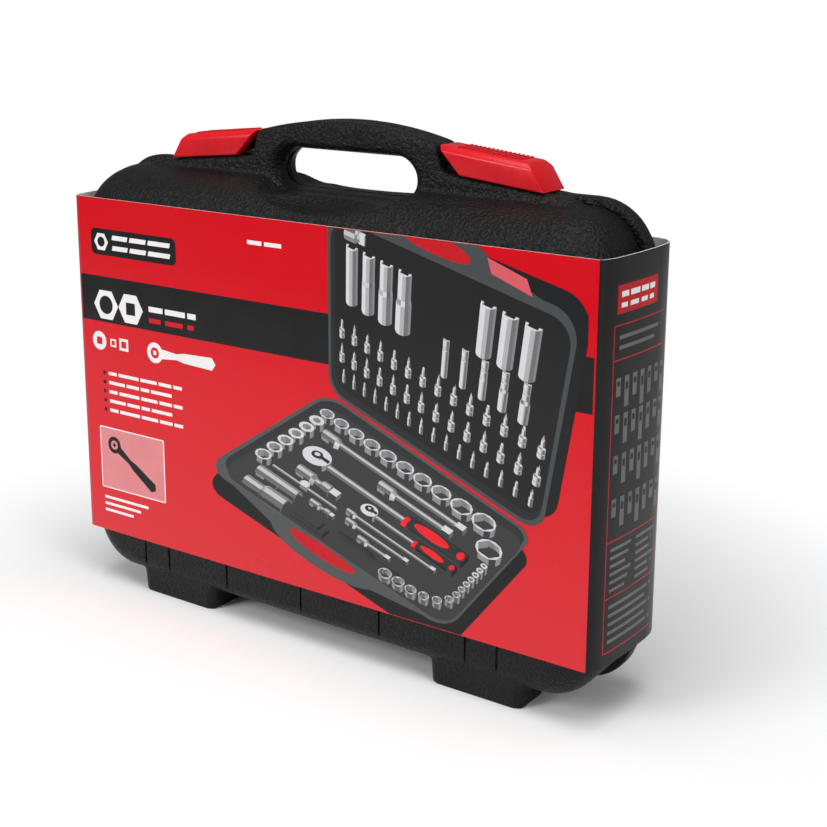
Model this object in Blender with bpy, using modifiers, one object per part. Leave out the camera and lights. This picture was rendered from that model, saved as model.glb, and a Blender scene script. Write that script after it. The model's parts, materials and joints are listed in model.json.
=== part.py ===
"""Socket wrench set in a carrying case that a printed card sleeve wraps.

Metres, +Z up. The case stands on its four feet, front towards -Y, with the handle on top.
The rear shell stays still, the front shell swings down on two hinge pins between the feet.
"""

import math

import bmesh
import bpy
from mathutils import Matrix, Vector

# Case shells
CASE_HALF_WIDTH = 0.189
BODY_BOTTOM = 0.013
BODY_TOP = 0.281
FRONT_DEPTH = 0.045
REAR_DEPTH = 0.031
WALL = 0.0022
CORNER_RADIUS = 0.030
SHOULDER_RADIUS = 0.014
RIM_PROUD = 0.004
RIM_WIDTH = 0.0110
GAP = 0.0003
OVERLAP = 0.0005
PARTING_Y = (FRONT_DEPTH - REAR_DEPTH) / 2

# Crown: the arch that carries the handle and the latch seats
CROWN_HALF_DEPTH = 0.0125
CROWN_FOOT_DROP = 0.015
HANDLE_HALF = 0.066
HANDLE_RISE = 0.0355
HANDLE_SAG = 0.0075
OPENING_HALF = 0.050
OPENING_HEIGHT = 0.0255
OPENING_DROP = 0.006
SCOOP_HALF = 0.064
SCOOP_DROP = 0.012

# Latches, each sliding outwards on a rail of the rear shell
LATCH_MIDDLE_X = 0.1084
LATCH_SEAT_RISE = 0.0073
LATCH_SLOPE = math.radians(5.8)
LATCH_HALF_LENGTH = 0.027
LATCH_HALF_DEPTH = 0.0122
LATCH_HEIGHT = 0.0150
LATCH_LEAN = 0.0115
LATCH_CLEARANCE = 0.0005
RAIL_FRONT = 0.0050
RAIL_REAR = 0.0085
RAIL_HEIGHT = 0.0095
RAIL_END = -0.0155
RAIL_ROOT = 0.002

# Feet and hinge
FOOT_INNER_X = 0.084
FOOT_OUTER_X = 0.146
FOOT_FAR = 0.041
FOOT_NEAR = 0.013
REAR_FOOT_FAR = 0.024
FOOT_CORNER = 0.004
HINGE_Z = 0.010
BARREL_RADIUS = 0.0075
BARREL_LENGTH = 0.014
MIDDLE_BARREL_LENGTH = 0.0254
BARREL_MIDDLE_X = 0.115
HINGE_CLEARANCE = 0.0007
PIN_RADIUS = 0.0020
PIN_CLEARANCE = 0.0003

# Card sleeve
CARD = 0.0008
SLEEVE_CLEARANCE = 0.0008
SLEEVE_LOW = 0.0375
SLEEVE_HIGH = 0.2615
SLEEVE_CREASE = 0.003
SLEEVE_BULGE = 0.0035

# Trays
TRAY_WALL = 0.0010
TRAY_RECESS = 0.010
TRAY_EDGE_CLEARANCE = 0.0015
TRAY_BOTTOM_RISE = 0.0050
POCKET_CLEARANCE = 0.0005
POCKET_CORNER = 0.0012
POCKET_SIDES = 12
SHARED_WALL = 0.0017

# Tools
HALF_DRIVE = 0.0127
QUARTER_DRIVE = 0.00635
DRIVE_CLEARANCE = 0.0003
DRIVE_FLANGE = 0.76
TOOL_LIFT = 0.0085
SOCKET_SIZES = (16, 17, 18, 19, 20, 21, 22, 24, 27, 30)
COLUMN_SIZES = (10, 11, 12, 13, 14, 15)
LARGEST_SOCKET = 32
SOCKET_LENGTH = 0.0380
SOCKET_WEB = 0.004
LONG_SOCKET_SIZES = (16, 17, 18, 19)
LONG_SOCKET_LENGTH = 0.076
MEDIUM_SOCKET_SIZES = (10, 12, 13)
MEDIUM_SOCKET_LENGTH = 0.060

# Sizes shared by the tools: an overlap past a cut face, a joint's overlap, and the edges' shapes
CUT_PAST = 0.001
JOIN_DEPTH = 0.002
MILLIMETRE = 0.001
NECK_PER_DRIVE = 0.866
NECK_END_SHARE = 0.42
NUT_START_SHARE = 0.50
NUT_WALL_PER_SIZE = 0.625
NUT_WALL = 0.001
AXIS_BELOW_TRAY = 0.001
WEB_DROP = 0.004
FOOT_ROOT = 0.003
OPENING_ROUNDING = 0.45
SCOOP_ROUNDING = 0.8

# Layout: standing sockets in the front tray
ROW_RISE = 0.0280
ROW_START = 0.0112
LARGEST_INSET = 0.033
LARGEST_RISE = 0.0450
COLUMN_RISE = 0.026
COLUMN_INSET = 0.0222

# Layout: deep sockets in the rear tray, lying with their nut ends down
LONG_FIRST_X = -0.148
LONG_PITCH = 0.032
LONG_LOW_Z = 0.160
MEDIUM_FIRST_X = 0.075
MEDIUM_PITCH = 0.030
MEDIUM_LOW_Z = 0.185

# Bars along +X: start x, height z, then (length, collar radius, shaft radius)
LONG_HALF_BAR = (-0.143, 0.0835, (0.235, 0.0105, 0.0065))
SHORT_HALF_BAR = (-0.030, 0.1070, (0.112, 0.0105, 0.0065))
FLEXIBLE_BAR = (-0.030, 0.1890, (0.140, 0.0055, 0.0035))
LONG_QUARTER_BAR = (-0.020, 0.2055, (0.095, 0.0060, 0.0036))
SHORT_QUARTER_BAR = (0.010, 0.2215, (0.045, 0.0060, 0.0036))
COLLAR_END = 2.2
COLLAR_TAPER_END = 2.8

# Turned tools: start x, height z, then the profile as (distance along, radius)
HALF_KNUCKLE = (-0.120, 0.1765, ((0, 0.0110), (0.024, 0.0110), (0.029, 0.0070), (0.037, 0.0070),
                                 (0.042, 0.0105), (0.054, 0.0105)))
QUARTER_KNUCKLE = (-0.072, 0.2150, ((0, 0.0062), (0.014, 0.0062), (0.017, 0.0038),
                                    (0.021, 0.0038), (0.024, 0.0060), (0.031, 0.0060)))
SPINNER = (-0.010, 0.2385, ((0, 0.0070), (0.050, 0.0070), (0.056, 0.0036), (0.090, 0.0036)))
ADAPTER = (-0.160, 0.2525, ((0, 0.0105), (0.020, 0.0105), (0.024, 0.0075), (0.028, 0.0075)))
ADAPTER_DRIVE = 0.009
SPARK_PLUG_X = -0.151
SPARK_PLUG_LENGTH = 0.064
SPARK_PLUG_ROWS = ((16, 0.2225), (21, 0.2492))

# T-bar and hexagon keys
T_BAR_ENDS = (-0.146, -0.042)
T_BAR_Z = 0.1985
T_BAR_RADIUS = 0.0032
T_BAR_HEAD_RADIUS = 0.0068
KEYS = (("hex_key_large", 0.0025, 0.2590, 0.052), ("hex_key_small", 0.0018, 0.2520, 0.040))
KEY_X = -0.074
KEY_SHORT_LEG = 0.016

# Ratchets: head x, z, head radius, thickness, drive, end x, grip length, grip half height
HALF_RATCHET = (-0.118, 0.1362, 0.0205, 0.019, HALF_DRIVE, 0.137, 0.105, 0.0145)
QUARTER_RATCHET = (-0.008, 0.1676, 0.0125, 0.012, QUARTER_DRIVE, 0.137, 0.070, 0.0095)
RATCHET_BACK_DROP = 0.0035
SHANK_PER_THICKNESS = 0.34
SHANK_ROOT = 1.15
SHANK_TIP = 0.9
SHANK_CLEAR = 1.2
SHANK_START = 0.5
SHANK_IN_GRIP = 0.85
BORE_PER_THICKNESS = 0.30
BUTTON_PER_DRIVE = 0.31
BUTTON_WELL = 0.0042
BUTTON_DEPTH = 0.0018
BUTTON_PROUD = 0.0032
LEVER_RING = 0.0045
LEVER_TOP = 0.0024
TAB_TOP = 0.0022
TAB_RISE = 0.0001
TAB_START = 0.6
TAB_END = 0.92
TAB_HALF = 0.4
GRIP_PER_THICKNESS = 0.44
GRIP_ROUNDING = 0.6
DRIVE_POCKET = 0.85

CHROME = ((0.72, 0.73, 0.75), 0.18, 1.0)
BLACK_PLASTIC = ((0.014, 0.014, 0.015), 0.5, 0.0)
TRAY_PLASTIC = ((0.02, 0.02, 0.022), 0.6, 0.0)
RED_PLASTIC = ((0.62, 0.010, 0.018), 0.3, 0.0)
RED_CARD = ((0.55, 0.004, 0.012), 0.25, 0.0)
STEEL = ((0.35, 0.35, 0.36), 0.35, 1.0)

FRONT_Y = PARTING_Y - FRONT_DEPTH
REAR_Y = PARTING_Y + REAR_DEPTH
TRAY_HALF_WIDTH = CASE_HALF_WIDTH - WALL - TRAY_EDGE_CLEARANCE
TRAY_LOW = BODY_BOTTOM + WALL + TRAY_BOTTOM_RISE
CROWN_LOW = BODY_TOP - CROWN_FOOT_DROP
TRAY_HIGH = CROWN_LOW - OVERLAP
SOCKET_SPACING = SHARED_WALL + 2 * POCKET_CLEARANCE
TOOL_TOP = PARTING_Y - TRAY_RECESS + TOOL_LIFT
POCKET_FLOOR_FRONT = FRONT_Y + WALL + GAP + TRAY_WALL
POCKET_FLOOR_REAR = REAR_Y - WALL - GAP - TRAY_WALL

front_pockets = []
rear_pockets = []


def new_collection(name):
    group = bpy.data.collections.new(name)
    bpy.context.scene.collection.children.link(group)
    return group


for leftover in list(bpy.data.objects):
    bpy.data.objects.remove(leftover, do_unlink=True)
parts = new_collection("socket_wrench_set")
cutters = new_collection("cutters")


# Shapes: each comes out as a closed mesh whose points are in world coordinates

def mesh_object(name, bm):
    bmesh.ops.recalc_face_normals(bm, faces=bm.faces)
    mesh = bpy.data.meshes.new(name)
    bm.to_mesh(mesh)
    bm.free()
    piece = bpy.data.objects.new(name, mesh)
    parts.objects.link(piece)
    return piece


def box(name, low, high):
    bm = bmesh.new()
    size = Vector(high) - Vector(low)
    middle = (Vector(high) + Vector(low)) / 2
    place = Matrix.Translation(middle) @ Matrix.Diagonal((*size, 1))
    bmesh.ops.create_cube(bm, size=1, matrix=place)
    return mesh_object(name, bm)


def rod(name, start, end, radius, sides=16, end_radius=None):
    start = Vector(start)
    along = Vector(end) - start
    turn = Vector((0, 0, 1)).rotation_difference(along).to_matrix().to_4x4()
    bm = bmesh.new()
    bmesh.ops.create_cone(
        bm, cap_ends=True, segments=sides, radius1=radius,
        radius2=radius if end_radius is None else end_radius, depth=along.length,
        matrix=Matrix.Translation(start + along / 2) @ turn)
    return mesh_object(name, bm)


def rounded_rectangle(low_u, high_u, low_v, high_v, radius, segments=3):
    """Outline of a rectangle with rounded corners, in order around it."""
    corners = ((high_u - radius, high_v - radius, 0), (low_u + radius, high_v - radius, 90),
               (low_u + radius, low_v + radius, 180), (high_u - radius, low_v + radius, 270))
    outline = []
    for u, v, first in corners:
        for step in range(segments + 1):
            angle = math.radians(first + 90 * step / segments)
            outline.append((u + radius * math.cos(angle), v + radius * math.sin(angle)))
    return outline


def flat(name, outlines, low, high, normal="Y"):
    """A flat piece between two planes: outlines are (x, z) for normal Y, (x, y) for normal Z."""
    curve = bpy.data.curves.new(name, "CURVE")
    curve.dimensions = "2D"
    curve.fill_mode = "BOTH"
    curve.extrude = (high - low) / 2
    for outline in outlines:
        spline = curve.splines.new("POLY")
        spline.points.add(len(outline) - 1)
        for point, (u, v) in zip(spline.points, outline):
            point.co = (u, v, 0, 1)
        spline.use_cyclic_u = True
    drawn = bpy.data.objects.new(name, curve)
    parts.objects.link(drawn)
    seen = drawn.evaluated_get(bpy.context.evaluated_depsgraph_get())
    mesh = bpy.data.meshes.new_from_object(seen)
    bpy.data.objects.remove(drawn)
    middle = (low + high) / 2
    if normal == "Y":
        mesh.transform(Matrix.Translation((0, middle, 0)) @ Matrix.Rotation(math.pi / 2, 4, "X"))
    else:
        mesh.transform(Matrix.Translation((0, 0, middle)))
    bm = bmesh.new()
    bm.from_mesh(mesh)
    bmesh.ops.remove_doubles(bm, verts=bm.verts, dist=1e-6)
    return mesh_object(name, bm)


def turned(name, profile, place, sides=12):
    """A turned piece: profile is (distance along, radius) from its base, place puts its axis."""
    mesh = bpy.data.meshes.new(name)
    points = [(0, 0, profile[-1][0])]
    points += [(radius, 0, along) for along, radius in reversed(profile)]
    points.append((0, 0, profile[0][0]))
    mesh.from_pydata(points, [(i, i + 1) for i in range(len(points) - 1)], [])
    drawn = bpy.data.objects.new(name, mesh)
    parts.objects.link(drawn)
    screw = drawn.modifiers.new("turn", "SCREW")
    screw.steps = sides
    screw.render_steps = sides
    screw.use_merge_vertices = True
    screw.merge_threshold = 0.00001
    seen = drawn.evaluated_get(bpy.context.evaluated_depsgraph_get())
    solid = bpy.data.meshes.new_from_object(seen)
    solid.transform(place)
    bpy.data.objects.remove(drawn)
    bm = bmesh.new()
    bm.from_mesh(solid)
    bmesh.ops.remove_doubles(bm, verts=bm.verts, dist=1e-6)
    return mesh_object(name, bm)


def axis_place(point, direction):
    """Matrix that puts a turned piece's base at a point, its axis along a direction."""
    turn = Vector((0, 0, 1)).rotation_difference(Vector(direction)).to_matrix().to_4x4()
    return Matrix.Translation(point) @ turn


def prism(name, place, radius, sides, low, high):
    """A prism with a regular outline, such as a square drive or a hexagon, along a placed axis."""
    bm = bmesh.new()
    first = Matrix.Rotation(math.pi / sides, 4, "Z")
    middle = Matrix.Translation((0, 0, (low + high) / 2))
    bmesh.ops.create_cone(bm, cap_ends=True, segments=sides, radius1=radius, radius2=radius,
                          depth=high - low, matrix=place @ middle @ first)
    return mesh_object(name, bm)


# Working on pieces

def boolean(target, operand, operation, self_touching=False):
    """EXACT loses faces where the rear shell's rim, barrels and rails meet, so that one is MANIFOLD."""
    modifier = target.modifiers.new(operand.name, "BOOLEAN")
    modifier.operation = operation
    modifier.solver = "MANIFOLD" if target.name.startswith("rear_shell") else "EXACT"
    modifier.use_self = self_touching
    modifier.object = operand
    operand.hide_render = True
    operand.display_type = "WIRE"
    if operand.name in parts.objects:
        parts.objects.unlink(operand)
        cutters.objects.link(operand)


def cut(target, *tools):
    for tool in tools:
        boolean(target, tool, "DIFFERENCE")


def join(target, *pieces):
    for piece in pieces:
        boolean(target, piece, "UNION")


def merged(name, pieces):
    """One object from several shapes that may cross each other."""
    bm = bmesh.new()
    for piece in pieces:
        bm.from_mesh(piece.data)
        bpy.data.objects.remove(piece)
    return mesh_object(name, bm)


def finish(piece, look, origin=None):
    colour, roughness, metallic = look
    material = bpy.data.materials.new(piece.name)
    material.use_nodes = True
    shader = material.node_tree.nodes["Principled BSDF"]
    shader.inputs["Base Color"].default_value = (*colour, 1)
    shader.inputs["Roughness"].default_value = roughness
    shader.inputs["Metallic"].default_value = metallic
    piece.data.materials.clear()
    piece.data.materials.append(material)
    if origin is not None:
        piece.data.transform(Matrix.Translation(-Vector(origin)))
        piece.location = origin
    return piece


# Case shells

def body_block(name, near_y, face_y, inset):
    """Block with round corners, and round edges at its face_y end."""
    low = (inset - CASE_HALF_WIDTH, min(near_y, face_y), BODY_BOTTOM + inset)
    high = (CASE_HALF_WIDTH - inset, max(near_y, face_y), BODY_TOP - inset)
    block = box(name, low, high)
    bm = bmesh.new()
    bm.from_mesh(block.data)
    along_y = [e for e in bm.edges if abs(e.verts[0].co.y - e.verts[1].co.y) > OVERLAP]
    bmesh.ops.bevel(bm, geom=along_y, offset=CORNER_RADIUS - inset, segments=5, profile=0.5,
                    affect="EDGES", clamp_overlap=True)
    on_face = [e for e in bm.edges if all(abs(v.co.y - face_y) < GAP for v in e.verts)]
    bmesh.ops.bevel(bm, geom=on_face, offset=SHOULDER_RADIUS - inset, segments=3, profile=0.5,
                    affect="EDGES", clamp_overlap=True)
    bm.to_mesh(block.data)
    bm.free()
    return block


def seat_height(x):
    return BODY_TOP + LATCH_SEAT_RISE + (LATCH_MIDDLE_X - abs(x)) * math.tan(LATCH_SLOPE)


def crown_outline():
    """The arch of the handle, then the latch seats sloping down to the body's top edge."""
    arch = []
    for step in range(-6, 7):
        x = HANDLE_HALF * step / 6
        arch.append((x, BODY_TOP + HANDLE_RISE - HANDLE_SAG * (x / HANDLE_HALF) ** 2))
    seat_end = LATCH_MIDDLE_X + LATCH_HALF_LENGTH + LATCH_LEAN
    right = [(HANDLE_HALF + GAP, seat_height(HANDLE_HALF)), (seat_end, seat_height(seat_end)),
             (seat_end + LATCH_LEAN, BODY_TOP - WALL / 2), (seat_end + LATCH_LEAN, CROWN_LOW)]
    left = [(-x, z) for x, z in reversed(right)]
    return left + arch + right


def opening_outline(grown=0.0):
    low = BODY_TOP - OPENING_DROP - grown
    high = low + OPENING_HEIGHT + 2 * grown
    half = OPENING_HALF + grown
    return rounded_rectangle(-half, half, low, high, (high - low) * OPENING_ROUNDING, 4)


def scoop(name, side, grown):
    """Recess in the shoulder under the handle, where fingers reach round it."""
    start = PARTING_Y + side * (CROWN_HALF_DEPTH - OVERLAP - grown)
    end = PARTING_Y + side * 2 * max(FRONT_DEPTH, REAR_DEPTH)
    low = BODY_TOP - SCOOP_DROP - grown
    half = SCOOP_HALF + grown
    outline = rounded_rectangle(-half, half, low, low + 2 * HANDLE_RISE, SCOOP_DROP * SCOOP_ROUNDING)
    return flat(name, [outline], min(start, end), max(start, end))


def foot(name, side, mirror):
    near = PARTING_Y + side * FOOT_NEAR
    far = PARTING_Y + side * (FOOT_FAR if side < 0 else REAR_FOOT_FAR)
    ends = sorted((mirror * FOOT_INNER_X, mirror * FOOT_OUTER_X))
    outline = rounded_rectangle(*ends, min(near, far), max(near, far), FOOT_CORNER)
    return flat(name, [outline], 0, BODY_BOTTOM + WALL + FOOT_ROOT, normal="Z")


def barrels(side, mirror):
    """The x ranges of one shell's hinge barrels: two outer ones in front, one between behind."""
    half_middle = MIDDLE_BARREL_LENGTH / 2
    if side > 0:
        ranges = [(BARREL_MIDDLE_X - half_middle, BARREL_MIDDLE_X + half_middle)]
    else:
        inner = BARREL_MIDDLE_X - half_middle - GAP
        outer = BARREL_MIDDLE_X + half_middle + GAP
        ranges = [(inner - BARREL_LENGTH, inner), (outer, outer + BARREL_LENGTH)]
    return [tuple(sorted((mirror * a, mirror * b))) for a, b in ranges]


def hinge_reach():
    return MIDDLE_BARREL_LENGTH / 2 + GAP + BARREL_LENGTH


def hinge_rod(name, mirror, radius, spare):
    reach = hinge_reach() + spare
    middle = mirror * BARREL_MIDDLE_X
    return rod(name, (middle - reach, PARTING_Y, HINGE_Z), (middle + reach, PARTING_Y, HINGE_Z),
               radius, 16)


def add_hinge(shell, side, mirror):
    tag = f"{shell.name}_{'right' if mirror > 0 else 'left'}"
    cut(shell, hinge_rod(f"{tag}_relief", mirror, BARREL_RADIUS + HINGE_CLEARANCE, GAP))
    for number, (low, high) in enumerate(barrels(side, mirror)):
        web_end = PARTING_Y + side * (FOOT_NEAR + OVERLAP)
        web = box(f"{tag}_web_{number}", (low, min(PARTING_Y, web_end), HINGE_Z - WEB_DROP),
                  (high, max(PARTING_Y, web_end), BODY_BOTTOM + WALL / 2))
        barrel = rod(f"{tag}_barrel_{number}", (low, PARTING_Y, HINGE_Z),
                     (high, PARTING_Y, HINGE_Z), BARREL_RADIUS, 16)
        join(shell, web, barrel)
    cut(shell, hinge_rod(f"{tag}_pin_hole", mirror, PIN_RADIUS + PIN_CLEARANCE, CUT_PAST))


def latch_point(mirror, along, height):
    """World x and z of a point given along the latch seat, towards the handle, and above it."""
    x = LATCH_MIDDLE_X - along * math.cos(LATCH_SLOPE) + height * math.sin(LATCH_SLOPE)
    z = (BODY_TOP + LATCH_SEAT_RISE + along * math.sin(LATCH_SLOPE)
         + height * math.cos(LATCH_SLOPE))
    return mirror * x, z


def latch_plate(name, mirror, corners, low_y, high_y):
    outline = [latch_point(mirror, along, height) for along, height in corners]
    return flat(name, [outline], PARTING_Y + low_y, PARTING_Y + high_y)


def rail_end():
    """How far the rail runs towards the handle: just short of the arch's root."""
    return (LATCH_MIDDLE_X - HANDLE_HALF - 4 * GAP) / math.cos(LATCH_SLOPE)


def add_rail(shell, mirror):
    tag = "right" if mirror > 0 else "left"
    head = [(RAIL_END, GAP), (rail_end(), GAP), (rail_end(), RAIL_HEIGHT), (RAIL_END, RAIL_HEIGHT)]
    neck_ends = (RAIL_END + OVERLAP, rail_end() - OVERLAP)
    neck = [(neck_ends[0], -RAIL_ROOT), (neck_ends[1], -RAIL_ROOT),
            (neck_ends[1], RAIL_HEIGHT - OVERLAP), (neck_ends[0], RAIL_HEIGHT - OVERLAP)]
    join(shell, latch_plate(f"rail_{tag}_neck", mirror, neck, GAP, RAIL_REAR - OVERLAP),
         latch_plate(f"rail_{tag}", mirror, head, -RAIL_FRONT, RAIL_REAR))


def make_shell(name, side):
    depth = FRONT_DEPTH if side < 0 else REAR_DEPTH
    face_y = PARTING_Y + side * depth
    rim_y = PARTING_Y + side * GAP / 2
    shell = body_block(name, rim_y, face_y, 0.0)
    if side > 0:
        half = CASE_HALF_WIDTH + RIM_PROUD
        rim = rounded_rectangle(-half, half, BODY_BOTTOM - RIM_PROUD, BODY_TOP + RIM_PROUD,
                                CORNER_RADIUS + RIM_PROUD, 5)
        join(shell, flat("rim_band", [rim], rim_y + GAP, PARTING_Y + RIM_WIDTH))
    hollow = body_block(f"{name}_hollow", PARTING_Y - side * WALL, face_y - side * WALL, WALL)
    cut(hollow, scoop(f"{name}_scoop_wall", side, WALL))
    cut(shell, scoop(f"{name}_scoop", side, 0.0), hollow)
    crown_end = PARTING_Y + side * CROWN_HALF_DEPTH
    join(shell, flat(f"{name}_crown", [crown_outline()], min(rim_y, crown_end),
                     max(rim_y, crown_end)))
    reach = 2 * CROWN_HALF_DEPTH
    cut(shell, flat(f"{name}_opening", [opening_outline()], PARTING_Y - reach, PARTING_Y + reach))
    for mirror in (-1, 1):
        join(shell, foot(f"{name}_foot_{'right' if mirror > 0 else 'left'}", side, mirror))
        add_hinge(shell, side, mirror)
        if side > 0:
            add_rail(shell, mirror)
    return finish(shell, BLACK_PLASTIC, (0, PARTING_Y, HINGE_Z))


def make_latch(mirror):
    tag = "right" if mirror > 0 else "left"
    base = LATCH_CLEARANCE
    half = LATCH_HALF_LENGTH
    side_view = [(-half, base), (half, base), (half + LATCH_LEAN, LATCH_HEIGHT),
                 (LATCH_LEAN - half, LATCH_HEIGHT)]
    latch = latch_plate(f"latch_{tag}", mirror, side_view, -LATCH_HALF_DEPTH, LATCH_HALF_DEPTH)
    roof = RAIL_HEIGHT + LATCH_CLEARANCE
    past = half + 2 * LATCH_LEAN
    groove = [(RAIL_END - GAP, -CUT_PAST), (past, -CUT_PAST), (past, roof), (RAIL_END - GAP, roof)]
    cut(latch, latch_plate(f"latch_{tag}_groove", mirror, groove,
                           -RAIL_FRONT - LATCH_CLEARANCE, RAIL_REAR + LATCH_CLEARANCE))
    x, z = latch_point(mirror, 0, 0)
    return finish(latch, RED_PLASTIC, (x, PARTING_Y, z))


def make_pin(mirror):
    tag = "right" if mirror > 0 else "left"
    return finish(hinge_rod(f"hinge_pin_{tag}", mirror, PIN_RADIUS, -GAP), STEEL)


def sleeve_outline(inset):
    """Plan of the card band: creased corners, and sides pushed out where they pass the rim."""
    crease = CASE_HALF_WIDTH + SLEEVE_CREASE - inset
    bulge = CASE_HALF_WIDTH + SLEEVE_CREASE + SLEEVE_BULGE - inset
    front = FRONT_Y - SLEEVE_CLEARANCE - CARD + inset
    rear = REAR_Y + SLEEVE_CLEARANCE + CARD - inset
    right = [(crease, front), (bulge, PARTING_Y - GAP), (bulge, PARTING_Y + RIM_WIDTH + GAP),
             (crease, rear)]
    return right + [(-x, y) for x, y in reversed(right)]


def make_sleeve():
    band = flat("card_sleeve", [sleeve_outline(0.0), sleeve_outline(CARD)], SLEEVE_LOW,
                SLEEVE_HIGH, normal="Z")
    return finish(band, RED_CARD)


# Tools. Each one notes the pockets that it needs in its tray.

def round_pocket(pockets, x, z, radius, floor):
    pockets.append(("round", x, z, radius + POCKET_CLEARANCE, floor))


def slot_pocket(pockets, low_x, high_x, low_z, high_z, floor):
    spare = POCKET_CLEARANCE
    pockets.append(("slot", low_x - spare, high_x + spare, low_z - spare, high_z + spare, floor))


def socket_radius(size):
    """Outer radius of a half-inch socket's nut end, for a hexagon of this size in millimetres."""
    return max(HALF_DRIVE * NECK_PER_DRIVE, MILLIMETRE * size * NUT_WALL_PER_SIZE + NUT_WALL)


def make_socket(name, size, place, length):
    """Square recess at the base, hexagon recess at the far end."""
    nut = socket_radius(size)
    neck = HALF_DRIVE * NECK_PER_DRIVE
    shoulder = length * NUT_START_SHARE
    profile = [(0, neck), (length * NECK_END_SHARE, neck), (shoulder, nut), (length, nut)]
    socket = turned(name, profile, place)
    square = (HALF_DRIVE / 2 + DRIVE_CLEARANCE) * math.sqrt(2)
    hexagon = MILLIMETRE * size / math.sqrt(3) + DRIVE_CLEARANCE
    nut_floor = max(HALF_DRIVE + SOCKET_WEB, shoulder + SOCKET_WEB / 2)
    cut(socket,
        prism(f"{name}_square", place, square, 4, -CUT_PAST, HALF_DRIVE),
        prism(f"{name}_hexagon", place, hexagon, 6, nut_floor, length + CUT_PAST))
    return finish(socket, CHROME)


def standing_socket(size, x, z):
    base = POCKET_FLOOR_FRONT + GAP
    place = axis_place((x, base, z), (0, 1, 0))
    round_pocket(front_pockets, x, z, socket_radius(size), POCKET_FLOOR_FRONT)
    make_socket(f"socket_half_{size}mm", size, place, SOCKET_LENGTH)


def make_standing_sockets():
    row_z = TRAY_LOW + ROW_RISE
    x = ROW_START - TRAY_HALF_WIDTH
    for size in SOCKET_SIZES:
        radius = socket_radius(size)
        x += radius
        standing_socket(size, x, row_z)
        x += radius + SOCKET_SPACING
    standing_socket(LARGEST_SOCKET, TRAY_HALF_WIDTH - LARGEST_INSET, row_z + LARGEST_RISE)
    z = row_z + COLUMN_RISE
    for size in COLUMN_SIZES:
        standing_socket(size, COLUMN_INSET - TRAY_HALF_WIDTH, z)
        z += 2 * socket_radius(size) + SOCKET_SPACING


def lying_socket(name, size, x, low_z, length):
    radius = socket_radius(size)
    y = POCKET_FLOOR_REAR - GAP - socket_radius(max(LONG_SOCKET_SIZES))
    slot_pocket(rear_pockets, x - radius, x + radius, low_z, low_z + length, y + radius + GAP)
    make_socket(name, size, axis_place((x, y, low_z + length), (0, 0, -1)), length)


def make_deep_sockets():
    for number, size in enumerate(LONG_SOCKET_SIZES):
        x = LONG_FIRST_X + LONG_PITCH * number
        lying_socket(f"socket_long_{size}mm", size, x, LONG_LOW_Z, LONG_SOCKET_LENGTH)
    for number, size in enumerate(MEDIUM_SOCKET_SIZES):
        x = MEDIUM_FIRST_X + MEDIUM_PITCH * number
        lying_socket(f"socket_deep_{size}mm", size, x, MEDIUM_LOW_Z, MEDIUM_SOCKET_LENGTH)


def lying_height(radius):
    """The y of a tool's axis, so that it shows above the tray and no higher than the others."""
    return min(TOOL_TOP - radius, PARTING_Y - TRAY_RECESS - AXIS_BELOW_TRAY)


def bar_tool(name, low_x, z, profile, drive, socket_end=0.0, sides=12):
    """A turned bar along +X with a square drive past its far end, and a square socket at its base."""
    widest = max(radius for along, radius in profile)
    length = profile[-1][0]
    y = lying_height(widest)
    place = axis_place((low_x, y, z), (1, 0, 0))
    tool = turned(name, profile, place, sides)
    across = drive / math.sqrt(2)
    join(tool, prism(f"{name}_drive", place, across, 4, length - JOIN_DEPTH, length + drive))
    if socket_end:
        wider = (socket_end / 2 + DRIVE_CLEARANCE) * math.sqrt(2)
        cut(tool, prism(f"{name}_recess", place, wider, 4, -CUT_PAST, socket_end))
    slot_pocket(front_pockets, low_x, low_x + length + drive, z - widest, z + widest,
                y - widest - GAP)
    return finish(tool, CHROME)


def extension_profile(length, collar, shaft):
    return [(0, collar), (COLLAR_END * collar, collar), (COLLAR_TAPER_END * collar, shaft),
            (length, shaft)]


def make_bar_tools():
    extensions = (("extension_half_long", LONG_HALF_BAR, HALF_DRIVE),
                  ("extension_half_short", SHORT_HALF_BAR, HALF_DRIVE),
                  ("flexible_extension", FLEXIBLE_BAR, QUARTER_DRIVE),
                  ("extension_quarter_long", LONG_QUARTER_BAR, QUARTER_DRIVE),
                  ("extension_quarter_short", SHORT_QUARTER_BAR, QUARTER_DRIVE))
    for name, (low_x, z, sizes), drive in extensions:
        bar_tool(name, low_x, z, extension_profile(*sizes), drive, drive)
    bar_tool("universal_joint_half", *HALF_KNUCKLE, HALF_DRIVE, HALF_DRIVE)
    bar_tool("universal_joint_quarter", *QUARTER_KNUCKLE, QUARTER_DRIVE, QUARTER_DRIVE)
    bar_tool("spinner_handle", *SPINNER, QUARTER_DRIVE)


def make_spark_plug_sockets():
    low_x, length = SPARK_PLUG_X, SPARK_PLUG_LENGTH
    for size, z in SPARK_PLUG_ROWS:
        radius = socket_radius(size)
        y = lying_height(radius)
        slot_pocket(front_pockets, low_x, low_x + length, z - radius, z + radius, y - radius - GAP)
        make_socket(f"spark_plug_socket_{size}mm", size, axis_place((low_x, y, z), (1, 0, 0)),
                    length)


def make_adapter():
    low_x, z, profile = ADAPTER
    length, radius = profile[-1][0], profile[0][1]
    y = PARTING_Y + TRAY_RECESS + radius / 2
    place = axis_place((low_x, y, z), (1, 0, 0))
    tool = turned("drive_adapter", profile, place)
    join(tool, prism("adapter_drive", place, HALF_DRIVE / math.sqrt(2), 4, length - JOIN_DEPTH,
                     length + ADAPTER_DRIVE))
    slot_pocket(rear_pockets, low_x, low_x + length + ADAPTER_DRIVE, z - radius, z + radius,
                y + radius + GAP)
    return finish(tool, CHROME)


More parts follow.
